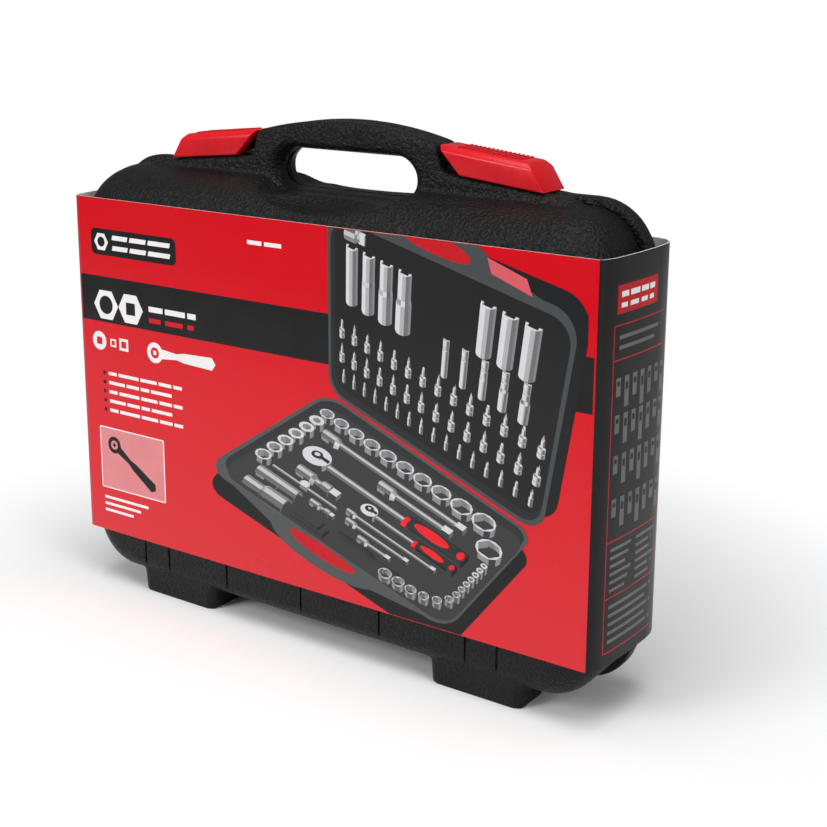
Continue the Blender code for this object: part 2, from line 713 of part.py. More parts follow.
def make_t_bar():
    radius, z, head_radius = T_BAR_RADIUS, T_BAR_Z, T_BAR_HEAD_RADIUS
    low_x, high_x = T_BAR_ENDS
    middle_x = (low_x + high_x) / 2
    y = PARTING_Y - TRAY_RECESS - AXIS_BELOW_TRAY
    bar = rod("t_bar_rod", (low_x, y, z), (high_x, y, z), radius, 12)
    slot_pocket(front_pockets, low_x, high_x, z - radius, z + radius, y - radius - GAP)
    place = axis_place((middle_x, y + head_radius, z), (0, -1, 0))
    head = turned("t_bar_head", [(0, head_radius), (2 * head_radius, head_radius)], place)
    tip = 2 * head_radius + QUARTER_DRIVE
    join(head, prism("t_bar_drive", place, QUARTER_DRIVE / math.sqrt(2), 4,
                     2 * head_radius - JOIN_DEPTH, tip))
    cut(head, rod("t_bar_hole", (low_x, y, z), (high_x, y, z), radius + DRIVE_CLEARANCE, 12))
    round_pocket(front_pockets, middle_x, z, head_radius, y + head_radius - tip - GAP)
    finish(bar, CHROME)
    finish(head, CHROME)


def make_hex_keys():
    low_x, short = KEY_X, KEY_SHORT_LEG
    for name, radius, z, length in KEYS:
        y = PARTING_Y - TRAY_RECESS - radius / 2
        key = rod(name, (low_x, y, z), (low_x + length, y, z), radius, 6)
        join(key, rod(f"{name}_bend", (low_x + length - radius, y, z + radius * 0.8),
                      (low_x + length - radius, y, z - short), radius, 6))
        slot_pocket(front_pockets, low_x, low_x + length + radius, z - short, z + radius * 1.1,
                    y - radius - GAP)
        finish(key, STEEL)


def make_ratchet(tag, head_x, z, head, thickness, drive, end_x, grip_length, grip_half):
    """A ratchet handle lying back up: the drive points into the tray, the lever faces out."""
    back = TOOL_TOP - RATCHET_BACK_DROP
    middle_y = back - thickness / 2
    shank = thickness * SHANK_PER_THICKNESS
    centre = (head_x, middle_y, z)
    body = rod(f"ratchet_{tag}_body", (head_x, back, z), (head_x, back - thickness, z), head, 20)
    grip_start = end_x - grip_length
    shank_end = grip_start + grip_length * SHANK_IN_GRIP
    join(body, rod(f"ratchet_{tag}_shank", (head_x + head * SHANK_START, middle_y, z),
                   (shank_end, middle_y, z), shank * SHANK_ROOT, 12, shank * SHANK_TIP))
    disc = drive * DRIVE_FLANGE
    bore_depth = thickness * BORE_PER_THICKNESS
    base = axis_place((head_x, back - thickness, z), (0, -1, 0))
    button = drive * BUTTON_PER_DRIVE
    cut(body,
        prism(f"ratchet_{tag}_bore", base, disc + PIN_CLEARANCE, 20, -bore_depth, JOIN_DEPTH),
        rod(f"ratchet_{tag}_well", (head_x, back - BUTTON_WELL, z),
            (head_x, back + CUT_PAST, z), button + PIN_CLEARANCE, 16))
    finish(body, CHROME)

    spindle = prism(f"ratchet_{tag}_drive", base, disc, 20, GAP - bore_depth, -GAP)
    join(spindle, prism(f"ratchet_{tag}_square", base, drive / math.sqrt(2), 4, -CUT_PAST, drive))
    finish(spindle, CHROME, centre)

    knob = rod(f"ratchet_{tag}_button", (head_x, back - BUTTON_DEPTH, z),
               (head_x, back + BUTTON_PROUD, z), button, 16)
    finish(knob, STEEL, (head_x, back, z))

    ring = button + LEVER_RING
    lever = rod(f"ratchet_{tag}_lever", (head_x, back + GAP, z), (head_x, back + LEVER_TOP, z),
                ring, 20)
    join(lever, box(f"ratchet_{tag}_tab",
                    (head_x + ring * TAB_START, back + GAP + TAB_RISE, z - ring * TAB_HALF),
                    (head_x + head * TAB_END, back + TAB_TOP, z + ring * TAB_HALF)))
    cut(lever, rod(f"ratchet_{tag}_lever_hole", (head_x, back - CUT_PAST, z),
                   (head_x, back + BUTTON_WELL, z), button + PIN_CLEARANCE, 16))
    finish(lever, BLACK_PLASTIC, (head_x, back, z))

    half_y = thickness * GRIP_PER_THICKNESS
    grip = box(f"ratchet_{tag}_grip", (grip_start, middle_y - half_y, z - grip_half),
               (end_x, middle_y + half_y, z + grip_half))
    round_edges = grip.modifiers.new("round", "BEVEL")
    round_edges.width = half_y * GRIP_ROUNDING
    round_edges.segments = 2
    cut(grip, rod(f"ratchet_{tag}_grip_bore", (grip_start - CUT_PAST, middle_y, z),
                  (shank_end + GAP, middle_y, z), shank * SHANK_ROOT + PIN_CLEARANCE, 12))
    finish(grip, RED_PLASTIC)

    floor = back - thickness - GAP
    round_pocket(front_pockets, head_x, z, head, floor)
    round_pocket(front_pockets, head_x, z, drive * DRIVE_POCKET, floor - drive - GAP)
    slot_pocket(front_pockets, head_x, grip_start, z - shank * SHANK_CLEAR, z + shank * SHANK_CLEAR,
                middle_y - shank * SHANK_CLEAR - GAP)
    slot_pocket(front_pockets, grip_start, end_x, z - grip_half, z + grip_half,
                middle_y - half_y - GAP)


def make_ratchets():
    make_ratchet("half", *HALF_RATCHET)
    make_ratchet("quarter", *QUARTER_RATCHET)


def pocket_solid(name, pocket, grown, top, side):
    """One pocket's footprint, grown by a wall thickness, from the tray's top to its floor."""
    floor = pocket[-1] + side * grown
    low, high = min(top, floor), max(top, floor)
    if pocket[0] == "round":
        x, z, radius = pocket[1:4]
        outside = (radius + grown) / math.cos(math.pi / POCKET_SIDES)
        return rod(name, (x, low, z), (x, high, z), outside, POCKET_SIDES)
    low_x, high_x, low_z, high_z = pocket[1:5]
    outline = rounded_rectangle(low_x - grown, high_x + grown, low_z - grown, high_z + grown,
                                min(POCKET_CORNER, (high_z - low_z) * OPENING_ROUNDING) + grown, 2)
    return flat(name, [outline], low, high)


def make_tray(name, side, pockets):
    surface = PARTING_Y + side * TRAY_RECESS
    under = surface + side * TRAY_WALL
    plan = rounded_rectangle(-TRAY_HALF_WIDTH, TRAY_HALF_WIDTH, TRAY_LOW, TRAY_HIGH,
                             CORNER_RADIUS - WALL, 4)
    tray = flat(name, [plan], min(surface, under), max(surface, under))
    inside_plate = surface + side * TRAY_WALL / 2
    walls = [pocket_solid(f"{name}_wall_{i}", p, TRAY_WALL, inside_plate, side)
             for i, p in enumerate(pockets)]
    hollows = [pocket_solid(f"{name}_hollow_{i}", p, 0.0, surface - side * TRAY_WALL, side)
               for i, p in enumerate(pockets)]
    boolean(tray, merged(f"{name}_walls", walls), "UNION", self_touching=True)
    boolean(tray, merged(f"{name}_hollows", hollows), "DIFFERENCE", self_touching=True)
    return finish(tray, TRAY_PLASTIC)


make_shell("front_shell", -1)
make_shell("rear_shell", 1)
for side_sign in (-1, 1):
    make_latch(side_sign)
    make_pin(side_sign)
make_sleeve()
make_standing_sockets()
make_deep_sockets()
make_bar_tools()
make_spark_plug_sockets()
make_adapter()
make_t_bar()
make_hex_keys()
make_ratchets()
make_tray("front_tray", -1, front_pockets)
make_tray("rear_tray", 1, rear_pockets)
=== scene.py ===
"""Looks of a socket wrench set in its carrying case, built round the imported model.

Metres, +Z up, front towards -Y. The case stands closed on its feet inside its printed card sleeve.
"""

import json
import math

import bmesh
import bpy
import numpy as np
from mathutils import Matrix, Vector


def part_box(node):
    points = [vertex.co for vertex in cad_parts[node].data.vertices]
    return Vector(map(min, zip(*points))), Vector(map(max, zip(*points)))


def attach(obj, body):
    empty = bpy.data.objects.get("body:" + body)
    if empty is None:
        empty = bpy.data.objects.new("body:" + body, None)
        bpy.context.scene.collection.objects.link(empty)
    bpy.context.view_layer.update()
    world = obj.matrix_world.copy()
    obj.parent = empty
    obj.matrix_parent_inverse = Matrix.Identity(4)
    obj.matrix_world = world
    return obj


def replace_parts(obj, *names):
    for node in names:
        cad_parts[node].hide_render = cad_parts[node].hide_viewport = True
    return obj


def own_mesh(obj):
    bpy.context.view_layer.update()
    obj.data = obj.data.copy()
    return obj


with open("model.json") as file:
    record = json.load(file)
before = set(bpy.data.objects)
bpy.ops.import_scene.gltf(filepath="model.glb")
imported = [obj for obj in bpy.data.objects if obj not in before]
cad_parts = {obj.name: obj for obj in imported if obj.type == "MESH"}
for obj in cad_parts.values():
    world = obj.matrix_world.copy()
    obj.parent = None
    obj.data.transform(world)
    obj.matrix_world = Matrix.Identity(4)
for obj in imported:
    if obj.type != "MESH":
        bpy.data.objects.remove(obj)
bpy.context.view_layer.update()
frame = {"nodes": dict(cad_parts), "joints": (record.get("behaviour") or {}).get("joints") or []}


# Camera and stage. A pale seamless floor and soft window-like lamps, as in a small product studio.
# The camera looks down a little at the front right corner of the case.

camera_azimuth = math.radians(34.75)
camera_elevation = math.radians(13.52)
camera_roll = math.radians(0.3)
camera_distance = 0.8576
camera_target = Vector((0.0434, 0.007, 0.1959))
lens_mm = 63.5
lens_shift_y = -0.10

towards_camera = Vector((math.sin(camera_azimuth) * math.cos(camera_elevation),
                         -math.cos(camera_azimuth) * math.cos(camera_elevation),
                         math.sin(camera_elevation)))
lens_data = bpy.data.cameras.new("camera")
lens_data.lens = lens_mm
lens_data.shift_y = lens_shift_y
lens_data.clip_start = 0.01
camera = bpy.data.objects.new("camera", lens_data)
bpy.context.scene.collection.objects.link(camera)
aim = (-towards_camera).to_track_quat("-Z", "Y")
camera.rotation_mode = "QUATERNION"
camera.rotation_quaternion = aim @ Matrix.Rotation(camera_roll, 3, "Z").to_quaternion()
camera.location = camera_target + towards_camera * camera_distance
bpy.context.scene.camera = camera

floor_half, floor_front_edge, floor_turn = 6.0, -0.78, math.radians(-9)
bm = bmesh.new()
bmesh.ops.create_grid(bm, x_segments=8, y_segments=8, size=floor_half,
                      matrix=Matrix.Rotation(floor_turn, 4, "Z")
                      @ Matrix.Translation((0, floor_half + floor_front_edge, 0)))
floor_mesh = bpy.data.meshes.new("floor")
bm.to_mesh(floor_mesh)
bm.free()
floor = bpy.data.objects.new("floor", floor_mesh)
bpy.context.scene.collection.objects.link(floor)
floor_paper = bpy.data.materials.new("floor_paper")
floor_paper.use_nodes = True
paper = floor_paper.node_tree
paper.nodes["Principled BSDF"].inputs["Base Color"].default_value = (0.93, 0.93, 0.93, 1)
paper.nodes["Principled BSDF"].inputs["Roughness"].default_value = 0.9
near_radius, far_radius = 0.21, 0.42
from_case = paper.nodes.new("ShaderNodeVectorMath")
from_case.operation = "LENGTH"
where = paper.nodes.new("ShaderNodeTexCoord")
paper.links.new(where.outputs["Object"], from_case.inputs[0])
fade = paper.nodes.new("ShaderNodeMapRange")
fade.interpolation_type = "SMOOTHSTEP"
fade.inputs["From Min"].default_value = near_radius
fade.inputs["From Max"].default_value = far_radius
paper.links.new(from_case.outputs["Value"], fade.inputs["Value"])
eye = paper.nodes.new("ShaderNodeLightPath")
seen_fade = paper.nodes.new("ShaderNodeMath")
seen_fade.operation = "MULTIPLY"
paper.links.new(eye.outputs["Is Camera Ray"], seen_fade.inputs[0])
paper.links.new(fade.outputs["Result"], seen_fade.inputs[1])
glow = paper.nodes.new("ShaderNodeEmission")
mixed = paper.nodes.new("ShaderNodeMixShader")
paper.links.new(seen_fade.outputs["Value"], mixed.inputs["Fac"])
paper.links.new(paper.nodes["Principled BSDF"].outputs["BSDF"], mixed.inputs[1])
paper.links.new(glow.outputs["Emission"], mixed.inputs[2])
paper.links.new(mixed.outputs["Shader"], paper.nodes["Material Output"].inputs["Surface"])
floor_mesh.materials.append(floor_paper)


def soft_lamp(name, place, aimed_at, size, power):
    """A square studio lamp with a large soft face."""
    data = bpy.data.lights.new(name, "AREA")
    data.shape = "RECTANGLE"
    data.size, data.size_y = size
    data.energy = power
    lamp = bpy.data.objects.new(name, data)
    bpy.context.scene.collection.objects.link(lamp)
    lamp.location = place
    lamp.rotation_mode = "QUATERNION"
    lamp.rotation_quaternion = (Vector(aimed_at) - Vector(place)).to_track_quat("-Z", "Y")


soft_lamp("lamp_overhead", (0.2, -0.3, 1.7), (0, 0, 0.1), (1.3, 1.3), 20)
soft_lamp("lamp_front_left", (-1.0, -1.9, 1.1), (0, 0, 0.15), (1.1, 1.1), 30)
soft_lamp("lamp_right", (1.8, -0.6, 0.9), (0.1, 0, 0.18), (0.6, 0.9), 11)

studio_air = bpy.data.worlds.new("studio_air")
studio_air.use_nodes = True
seen_brightness, lighting_brightness = 1.0, 0.20
air = studio_air.node_tree
air.nodes["Background"].inputs["Color"].default_value = (1, 1, 1, 1)
seen = air.nodes.new("ShaderNodeLightPath")
level = air.nodes.new("ShaderNodeMapRange")
level.inputs["To Min"].default_value = lighting_brightness
level.inputs["To Max"].default_value = seen_brightness
air.links.new(seen.outputs["Is Camera Ray"], level.inputs["Value"])
air.links.new(level.outputs["Result"], air.nodes["Background"].inputs["Strength"])
bpy.context.scene.world = studio_air
bpy.context.scene.view_settings.view_transform = "Standard"


# Case shells. Two blow-moulded halves of black polyethylene with a pebbled skin, each with its half
# of the handle, two feet and its hinge barrels. The rear half has a proud rim band and the latch rails.

front_low, front_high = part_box("front_shell")
rear_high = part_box("rear_shell")[1]
hinge = next(j for j in frame["joints"] if j["name"] == "front_shell_hinge")
hinge_y, hinge_z = hinge["pos_m"][1:]
case_half = front_high.x
front_face_y = front_low.y
rear_face_y = rear_high.y
handle_top = front_high.z
body_top = handle_top - 0.0355
body_bottom = 0.013
corner_radius = 0.030
rim_proud = rear_high.x - case_half
rim_depth = 0.0110
shell_gap = 0.00045
wall = 0.0022
latch_middle_x = 0.1084
latch_slope = math.radians(5.8)
latch_seat_rise = 0.0073
tray_high = {-1: body_top - 0.0178, 1: body_top - 0.0165}


def new_piece(name, mesh, material=None, body=None):
    """An object for a mesh, with its material, riding on a body."""
    piece = bpy.data.objects.new(name, mesh)
    bpy.context.scene.collection.objects.link(piece)
    if material is not None:
        mesh.materials.clear()
        mesh.materials.append(material)
    if body is not None:
        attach(piece, body)
    return piece


def mesh_from(name, points, faces):
    """A mesh from points and faces, its normals turned outwards."""
    mesh = bpy.data.meshes.new(name)
    mesh.from_pydata([tuple(p) for p in points], [], faces)
    bm = bmesh.new()
    bm.from_mesh(mesh)
    bmesh.ops.recalc_face_normals(bm, faces=bm.faces)
    bm.to_mesh(mesh)
    bm.free()
    return mesh


def loft(name, rings):
    """A closed solid through rings of equally many points, capped at both ends."""
    count = len(rings[0])
    points = [p for ring in rings for p in ring]
    faces = []
    for r in range(len(rings) - 1):
        for i in range(count):
            j = (i + 1) % count
            faces.append((r * count + i, r * count + j, (r + 1) * count + j, (r + 1) * count + i))
    last = (len(rings) - 1) * count
    faces.append(tuple(range(count)))
    faces.append(tuple(range(last, last + count)))
    return mesh_from(name, points, faces)


def round_box(low_u, high_u, low_v, high_v, radius, steps=8):
    """Points around a rectangle with round corners."""
    middles = ((high_u - radius, high_v - radius), (low_u + radius, high_v - radius),
               (low_u + radius, low_v + radius), (high_u - radius, low_v + radius))
    ring = []
    for quarter, (u, v) in enumerate(middles):
        for step in range(steps + 1):
            angle = math.radians(90 * (quarter + step / steps))
            ring.append((u + radius * math.cos(angle), v + radius * math.sin(angle)))
    return ring


def plate(name, outline, low, high, normal="Y"):
    """A flat solid: outline is (x, z) between two y, or (x, y) between two z."""
    if normal == "Y":
        rings = [[(u, level, v) for u, v in outline] for level in (low, high)]
    else:
        rings = [[(u, v, level) for u, v in outline] for level in (low, high)]
    return loft(name, rings)


def rod(name, start, end, radius, sides=32):
    start, end = Vector(start), Vector(end)
    turn = Vector((0, 0, 1)).rotation_difference(end - start).to_matrix()
    rings = []
    for centre in (start, end):
        ring = [turn @ Vector((radius * math.cos(a), radius * math.sin(a), 0))
                for a in (2 * math.pi * i / sides for i in range(sides))]
        rings.append([centre + p for p in ring])
    return loft(name, rings)


def joined(name, meshes):
    """One mesh holding several."""
    bm = bmesh.new()
    for mesh in meshes:
        bm.from_mesh(mesh)
    both = bpy.data.meshes.new(name)
    bm.to_mesh(both)
    bm.free()
    return both


def rounded_edges(mesh, width, segments=2, angle=40):
    """The mesh with every edge sharper than an angle rounded off."""
    bm = bmesh.new()
    bm.from_mesh(mesh)
    sharp = [e for e in bm.edges if e.calc_face_angle(0) > math.radians(angle)]
    bmesh.ops.bevel(bm, geom=sharp, offset=width, segments=segments, profile=0.5,
                    affect="EDGES", clamp_overlap=True)
    bm.to_mesh(mesh)
    bm.free()
    return mesh


def worked(mesh, *steps):
    """The mesh after a list of modifiers, each (type, settings)."""
    piece = bpy.data.objects.new("work", mesh)
    bpy.context.scene.collection.objects.link(piece)
    for kind, settings in steps:
        modifier = piece.modifiers.new(kind, kind)
        for key, value in settings.items():
            setattr(modifier, key, value)
    seen = piece.evaluated_get(bpy.context.evaluated_depsgraph_get())
    result = bpy.data.meshes.new_from_object(seen)
    bpy.data.objects.remove(piece)
    return result


def combined(mesh, operation, others):
    """The mesh united with, or cut by, other closed meshes."""
    for other in others:
        tool = bpy.data.objects.new("tool", other)
        bpy.context.scene.collection.objects.link(tool)
        mesh = worked(mesh, ("BOOLEAN", {"operation": operation, "solver": "MANIFOLD", "object": tool}))
        bpy.data.objects.remove(tool)
    return mesh


def smooth(mesh, angle=35):
    mesh.shade_smooth()
    mesh.set_sharp_from_angle(angle=math.radians(angle))
    return mesh


def shoulder(past, depth, drop):
    """How far a quarter-ellipse shoulder has fallen at a distance past its start."""
    share = min(max(past / depth, 0.0), 1.0)
    return drop * (1 - math.sqrt(1 - share * share))


def shell_block(name, side, inset):
    """Lofted half of the case: a broad soft shoulder on top, tighter ones at the sides and below."""
    depth = abs((front_face_y if side < 0 else rear_face_y) - hinge_y)
    top_depth, top_drop = (0.036, 0.023) if side < 0 else (0.022, 0.015)
    side_depth, side_drop = 0.016, 0.013
    bottom_depth, bottom_drop = 0.014, 0.011
    rings = []
    steps = 22
    reach = depth - inset
    for step in range(steps + 1):
        travelled = reach * math.sin(math.pi / 2 * step / steps)
        past = travelled * depth / reach
        half = case_half - inset - shoulder(past - depth + side_depth, side_depth, side_drop)
        high = body_top - inset - shoulder(past - depth + top_depth, top_depth, top_drop)
        low = body_bottom + inset + shoulder(past - depth + bottom_depth, bottom_depth, bottom_drop)
        y = hinge_y + side * max(travelled, shell_gap)
        radius = corner_radius - inset
        rings.append([(x, y, z) for x, z in round_box(-half, half, low, high, radius, 10)])
    return loft(name, rings)


def seat_height(x):
    return body_top + latch_seat_rise + (latch_middle_x - abs(x)) * math.tan(latch_slope)


def crown_outline():
    """The handle's arch, its raked roots, and the latch seats that slope down into the body."""
    arch_half, arch_sag, root_rake = 0.0650, 0.0088, 0.0045
    seat_end = 0.147
    arch = []
    for step in range(-12, 13):
        x = arch_half * step / 12
        arch.append((x, handle_top - arch_sag * (x / arch_half) ** 2))
    right = [(arch_half + root_rake, seat_height(arch_half + root_rake)),
             (seat_end, seat_height(seat_end)), (seat_end + 0.014, body_top - 0.001),
             (seat_end + 0.014, body_top - 0.014)]
    return [(-x, z) for x, z in reversed(right)] + arch + right


def handle_opening(name, side, crown_depth, far):
    """A long rounded hole, narrowest at the seam and flared towards its face; its top follows the arch."""
    half, low, high, sag = 0.0500, body_top - 0.0060, body_top + 0.0197, 0.0045
    end_radius, flare, floor_flare, past_seam, steps = 0.0120, 0.0060, 0.3, 0.002, 8
    rings = []
    for past in [-past_seam, *(crown_depth * step / steps for step in range(steps + 1)), far]:
        share = min(max(past / crown_depth, 0), 1)
        grown = flare * (1 - math.sqrt(1 - share * share))
        ring = []
        for x, z in round_box(-half - grown, half + grown, low - grown * floor_flare, high + grown,
                              end_radius + grown / 2, 8):
            rise = (z - low) / (high - low)
            ring.append((x, hinge_y + side * past, z - rise * sag * (x / half) ** 2))
        rings.append(ring)
    return loft(name, rings)


def bowl(name, side):
    """The hollow under the handle where the fingers go round it."""
    middle = Vector((0, hinge_y + side * 0.0415, body_top + 0.0115))
    reach = Vector((0.0680, 0.0310, 0.0262))
    bm = bmesh.new()
    bmesh.ops.create_uvsphere(bm, u_segments=64, v_segments=32, radius=1)
    bmesh.ops.transform(bm, matrix=Matrix.Translation(middle) @ Matrix.Diagonal((*reach, 1)),
                        verts=bm.verts)
    mesh = bpy.data.meshes.new(name)
    bm.to_mesh(mesh)
    bm.free()
    return mesh


def foot(name, side, mirror):
    inner, outer, near = 0.084, 0.146, 0.013
    far = 0.041 if side < 0 else 0.024
    ends = sorted((mirror * inner, mirror * outer))
    levels = sorted((hinge_y + side * near, hinge_y + side * far))
    draft = 0.0012
    rings = []
    for z, grown in ((0.0, 0.0), (body_bottom + 0.008, draft)):
        outline = round_box(ends[0] - grown, ends[1] + grown, levels[0] - grown / 2,
                            levels[1] + grown / 2, 0.006, 6)
        rings.append([(x, y, z) for x, y in outline])
    return loft(name, rings)


def latch_point(mirror, along, height):
    """World x and z of a point along the latch seat, towards the handle, and above it."""
    x = latch_middle_x - along * math.cos(latch_slope) + height * math.sin(latch_slope)
    z = body_top + latch_seat_rise + along * math.sin(latch_slope) + height * math.cos(latch_slope)
    return mirror * x, z


def latch_plate(name, mirror, corners, low_y, high_y):
    outline = [latch_point(mirror, along, height) for along, height in corners]
    return plate(name, outline, hinge_y + low_y, hinge_y + high_y)


def hinge_parts(side, mirror):
    """The relief to cut, the barrels and webs to add, and the pin hole to cut."""
    barrel_radius, middle_x, middle_length, outer_length = 0.0075, 0.115, 0.0254, 0.014
    end_gap, relief_gap, pin_hole_radius = 0.0003, 0.0007, 0.0023
    web_reach, web_drop, web_rise = 0.0140, 0.004, 0.0015
    half = middle_length / 2
    reach = half + outer_length + 2 * end_gap
    ends = [(mirror * (middle_x - reach), hinge_y, hinge_z), (mirror * (middle_x + reach), hinge_y, hinge_z)]
    relief = rod("relief", *ends, barrel_radius + relief_gap)
    if side > 0:
        spans = [(middle_x - half, middle_x + half)]
    else:
        spans = [(middle_x - half - end_gap - outer_length, middle_x - half - end_gap),
                 (middle_x + half + end_gap, middle_x + half + end_gap + outer_length)]
    added = []
    for low, high in spans:
        low, high = sorted((mirror * low, mirror * high))
        added.append(rod("barrel", (low, hinge_y, hinge_z), (high, hinge_y, hinge_z), barrel_radius))
        levels = sorted((hinge_y, hinge_y + side * web_reach))
        web = [(low, hinge_z - web_drop), (high, hinge_z - web_drop), (high, body_bottom + web_rise),
               (low, body_bottom + web_rise)]
        added.append(plate("web", web, *levels))
    pin_hole = rod("pin_hole", *ends, pin_hole_radius)
    return relief, added, pin_hole


def shifted(mesh, along_y):
    mesh.transform(Matrix.Translation((0, along_y, 0)))
    return mesh


def moulded_shell(name, side):
    """Joined rough solids are remeshed and smoothed, so that they flow together as blown plastic does."""
    voxel, blend_passes, kept_faces = 0.00125, 4, 0.22
    body = shell_block("body", side, 0.0)
    crown_depth, crown_round, cut_reach, seam_cut, cavity_corner = 0.0125, 0.0030, 0.060, 0.002, 0.028
    levels = sorted((hinge_y + side * shell_gap, hinge_y + side * crown_depth))
    crown = rounded_edges(plate("crown", crown_outline(), *levels), crown_round, 3, 50)
    solids = [crown, foot("foot", side, -1), foot("foot", side, 1)]
    if side > 0:
        half = case_half + rim_proud
        rim = []
        for y, inset in ((shell_gap, 0.0006), (0.0016, 0.0), (rim_depth - 0.002, 0.0), (rim_depth, 0.0012)):
            outline = round_box(inset - half, half - inset, body_bottom - rim_proud + inset,
                                body_top + rim_proud - inset, corner_radius + rim_proud - inset, 10)
            rim.append([(x, hinge_y + y, z) for x, z in outline])
        solids.append(loft("rim", rim))
    body = combined(body, "UNION", solids)
    far = hinge_y + side * cut_reach
    opening = handle_opening("opening", side, crown_depth, cut_reach)
    body = combined(body, "DIFFERENCE", [bowl("bowl", side), opening])
    body = worked(body, ("REMESH", {"mode": "VOXEL", "voxel_size": voxel}),
                  ("SMOOTH", {"factor": 0.5, "iterations": blend_passes}),
                  ("DECIMATE", {"ratio": kept_faces}))
    cavity = shell_block("cavity", side, wall)
    keep = plate("keep", round_box(-case_half, case_half, body_bottom, tray_high[side], cavity_corner, 10),
                 *sorted((hinge_y - side * seam_cut, far)))
    cavity = combined(cavity, "INTERSECT", [keep])
    cavity = shifted(cavity, -side * seam_cut / 2)
    body = combined(body, "DIFFERENCE", [cavity])
    if side < 0:
        grooves = []
        groove_half, groove_depth, groove_low, groove_high = 0.0008, 0.0009, body_bottom - 0.004, 0.050
        for x in (-0.139, -0.118, -0.068, -0.008, 0.051, 0.111, 0.132):
            outline = [(x - groove_half, groove_low), (x + groove_half, groove_low),
                       (x + groove_half, groove_high), (x - groove_half, groove_high)]
            grooves.append(plate("groove", outline, front_face_y - seam_cut, front_face_y + groove_depth))
        body = combined(body, "DIFFERENCE", grooves)
    for mirror in (-1, 1):
        relief, added, pin_hole = hinge_parts(side, mirror)
        body = combined(body, "DIFFERENCE", [relief])
        body = combined(body, "UNION", added)
        body = combined(body, "DIFFERENCE", [pin_hole])
    body.name = name
    return smooth(body, 40)


def node_kit(name):
    """A new node material, its tree and its shader."""
    material = bpy.data.materials.new(name)
    material.use_nodes = True
    return material, material.node_tree, material.node_tree.nodes["Principled BSDF"]


def add_node(tree, kind, inputs=None, **settings):
    node = tree.nodes.new(kind)
    for key, value in settings.items():
        setattr(node, key, value)
    for key, value in (inputs or {}).items():
        node.inputs[key].default_value = value
    return node


def object_coordinates(tree):
    return add_node(tree, "ShaderNodeTexCoord").outputs["Object"]


def noise_texture(tree, scale, detail=2.0, roughness=0.5):
    node = add_node(tree, "ShaderNodeTexNoise", {"Scale": scale, "Detail": detail, "Roughness": roughness})
    tree.links.new(object_coordinates(tree), node.inputs["Vector"])
    return node.outputs["Fac"]


def ramp(tree, source, *stops):
    """A colour ramp over a value: stops are (position, colour)."""
    node = add_node(tree, "ShaderNodeValToRGB")
    while len(node.color_ramp.elements) < len(stops):
        node.color_ramp.elements.new(0.5)
    for element, (position, colour) in zip(node.color_ramp.elements, stops):
        element.position = position
        element.color = (*colour, 1)
    tree.links.new(source, node.inputs["Fac"])
    return node.outputs["Color"]


def grey(value):
    return (value, value, value)


def bump(tree, shader, height, strength, distance, under=None):
    node = add_node(tree, "ShaderNodeBump", {"Strength": strength, "Distance": distance})
    tree.links.new(height, node.inputs["Height"])
    if under is not None:
        tree.links.new(under, node.inputs["Normal"])
    tree.links.new(node.outputs["Normal"], shader.inputs["Normal"])
    return node.outputs["Normal"]


def pebbled_plastic(name, cell, depth, dark, light, rough, shine=0.26):
    """Moulded skin: rounded pebbles a millimetre or two across, a fine haze and worn-in variation."""
    material, tree, shader = node_kit(name)
    pebbles = add_node(tree, "ShaderNodeTexVoronoi", {"Scale": 1 / cell, "Smoothness": 0.6},
                       feature="SMOOTH_F1")
    warp = add_node(tree, "ShaderNodeMixRGB", {"Fac": 0.004})
    wobble = add_node(tree, "ShaderNodeTexNoise", {"Scale": 300.0, "Detail": 2.0})
    tree.links.new(object_coordinates(tree), wobble.inputs["Vector"])
    tree.links.new(object_coordinates(tree), warp.inputs["Color1"])
    tree.links.new(wobble.outputs["Color"], warp.inputs["Color2"])
    tree.links.new(warp.outputs["Color"], pebbles.inputs["Vector"])
    under = bump(tree, shader, noise_texture(tree, 2.2 / cell, 3), 0.35, depth * 0.5)
    bump(tree, shader, pebbles.outputs["Distance"], 0.8, depth, under)
    tone = ramp(tree, noise_texture(tree, 22, 4), (0.3, dark), (0.7, light))
    tree.links.new(tone, shader.inputs["Base Color"])
    gloss = ramp(tree, noise_texture(tree, 60, 3), (0.3, grey(rough - 0.05)), (0.7, grey(rough + 0.06)))
    tree.links.new(gloss, shader.inputs["Roughness"])
    shader.inputs["Specular IOR Level"].default_value = shine
    return material


case_plastic = pebbled_plastic("case_plastic", 0.0017, 0.00110, grey(0.0028), grey(0.0062), 0.42, 0.19)

front_case = new_piece("front_case_shell", moulded_shell("front_case_shell", -1), case_plastic,
                       "front_case")
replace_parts(front_case, "front_shell")
rear_case = new_piece("rear_case_shell", moulded_shell("rear_case_shell", 1), case_plastic,
                      "rear_case")
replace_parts(rear_case, "rear_shell")


# Latch rails. Smooth glossy rails of the same black plastic, moulded on the rear half, that the
# latches slide along.

smooth_black, tree, shader = node_kit("smooth_black")
tone = ramp(tree, noise_texture(tree, 40, 3), (0.3, grey(0.008)), (0.7, grey(0.014)))
tree.links.new(tone, shader.inputs["Base Color"])
shader.inputs["Roughness"].default_value = 0.16
bump(tree, shader, noise_texture(tree, 90, 2), 0.15, 0.0003)

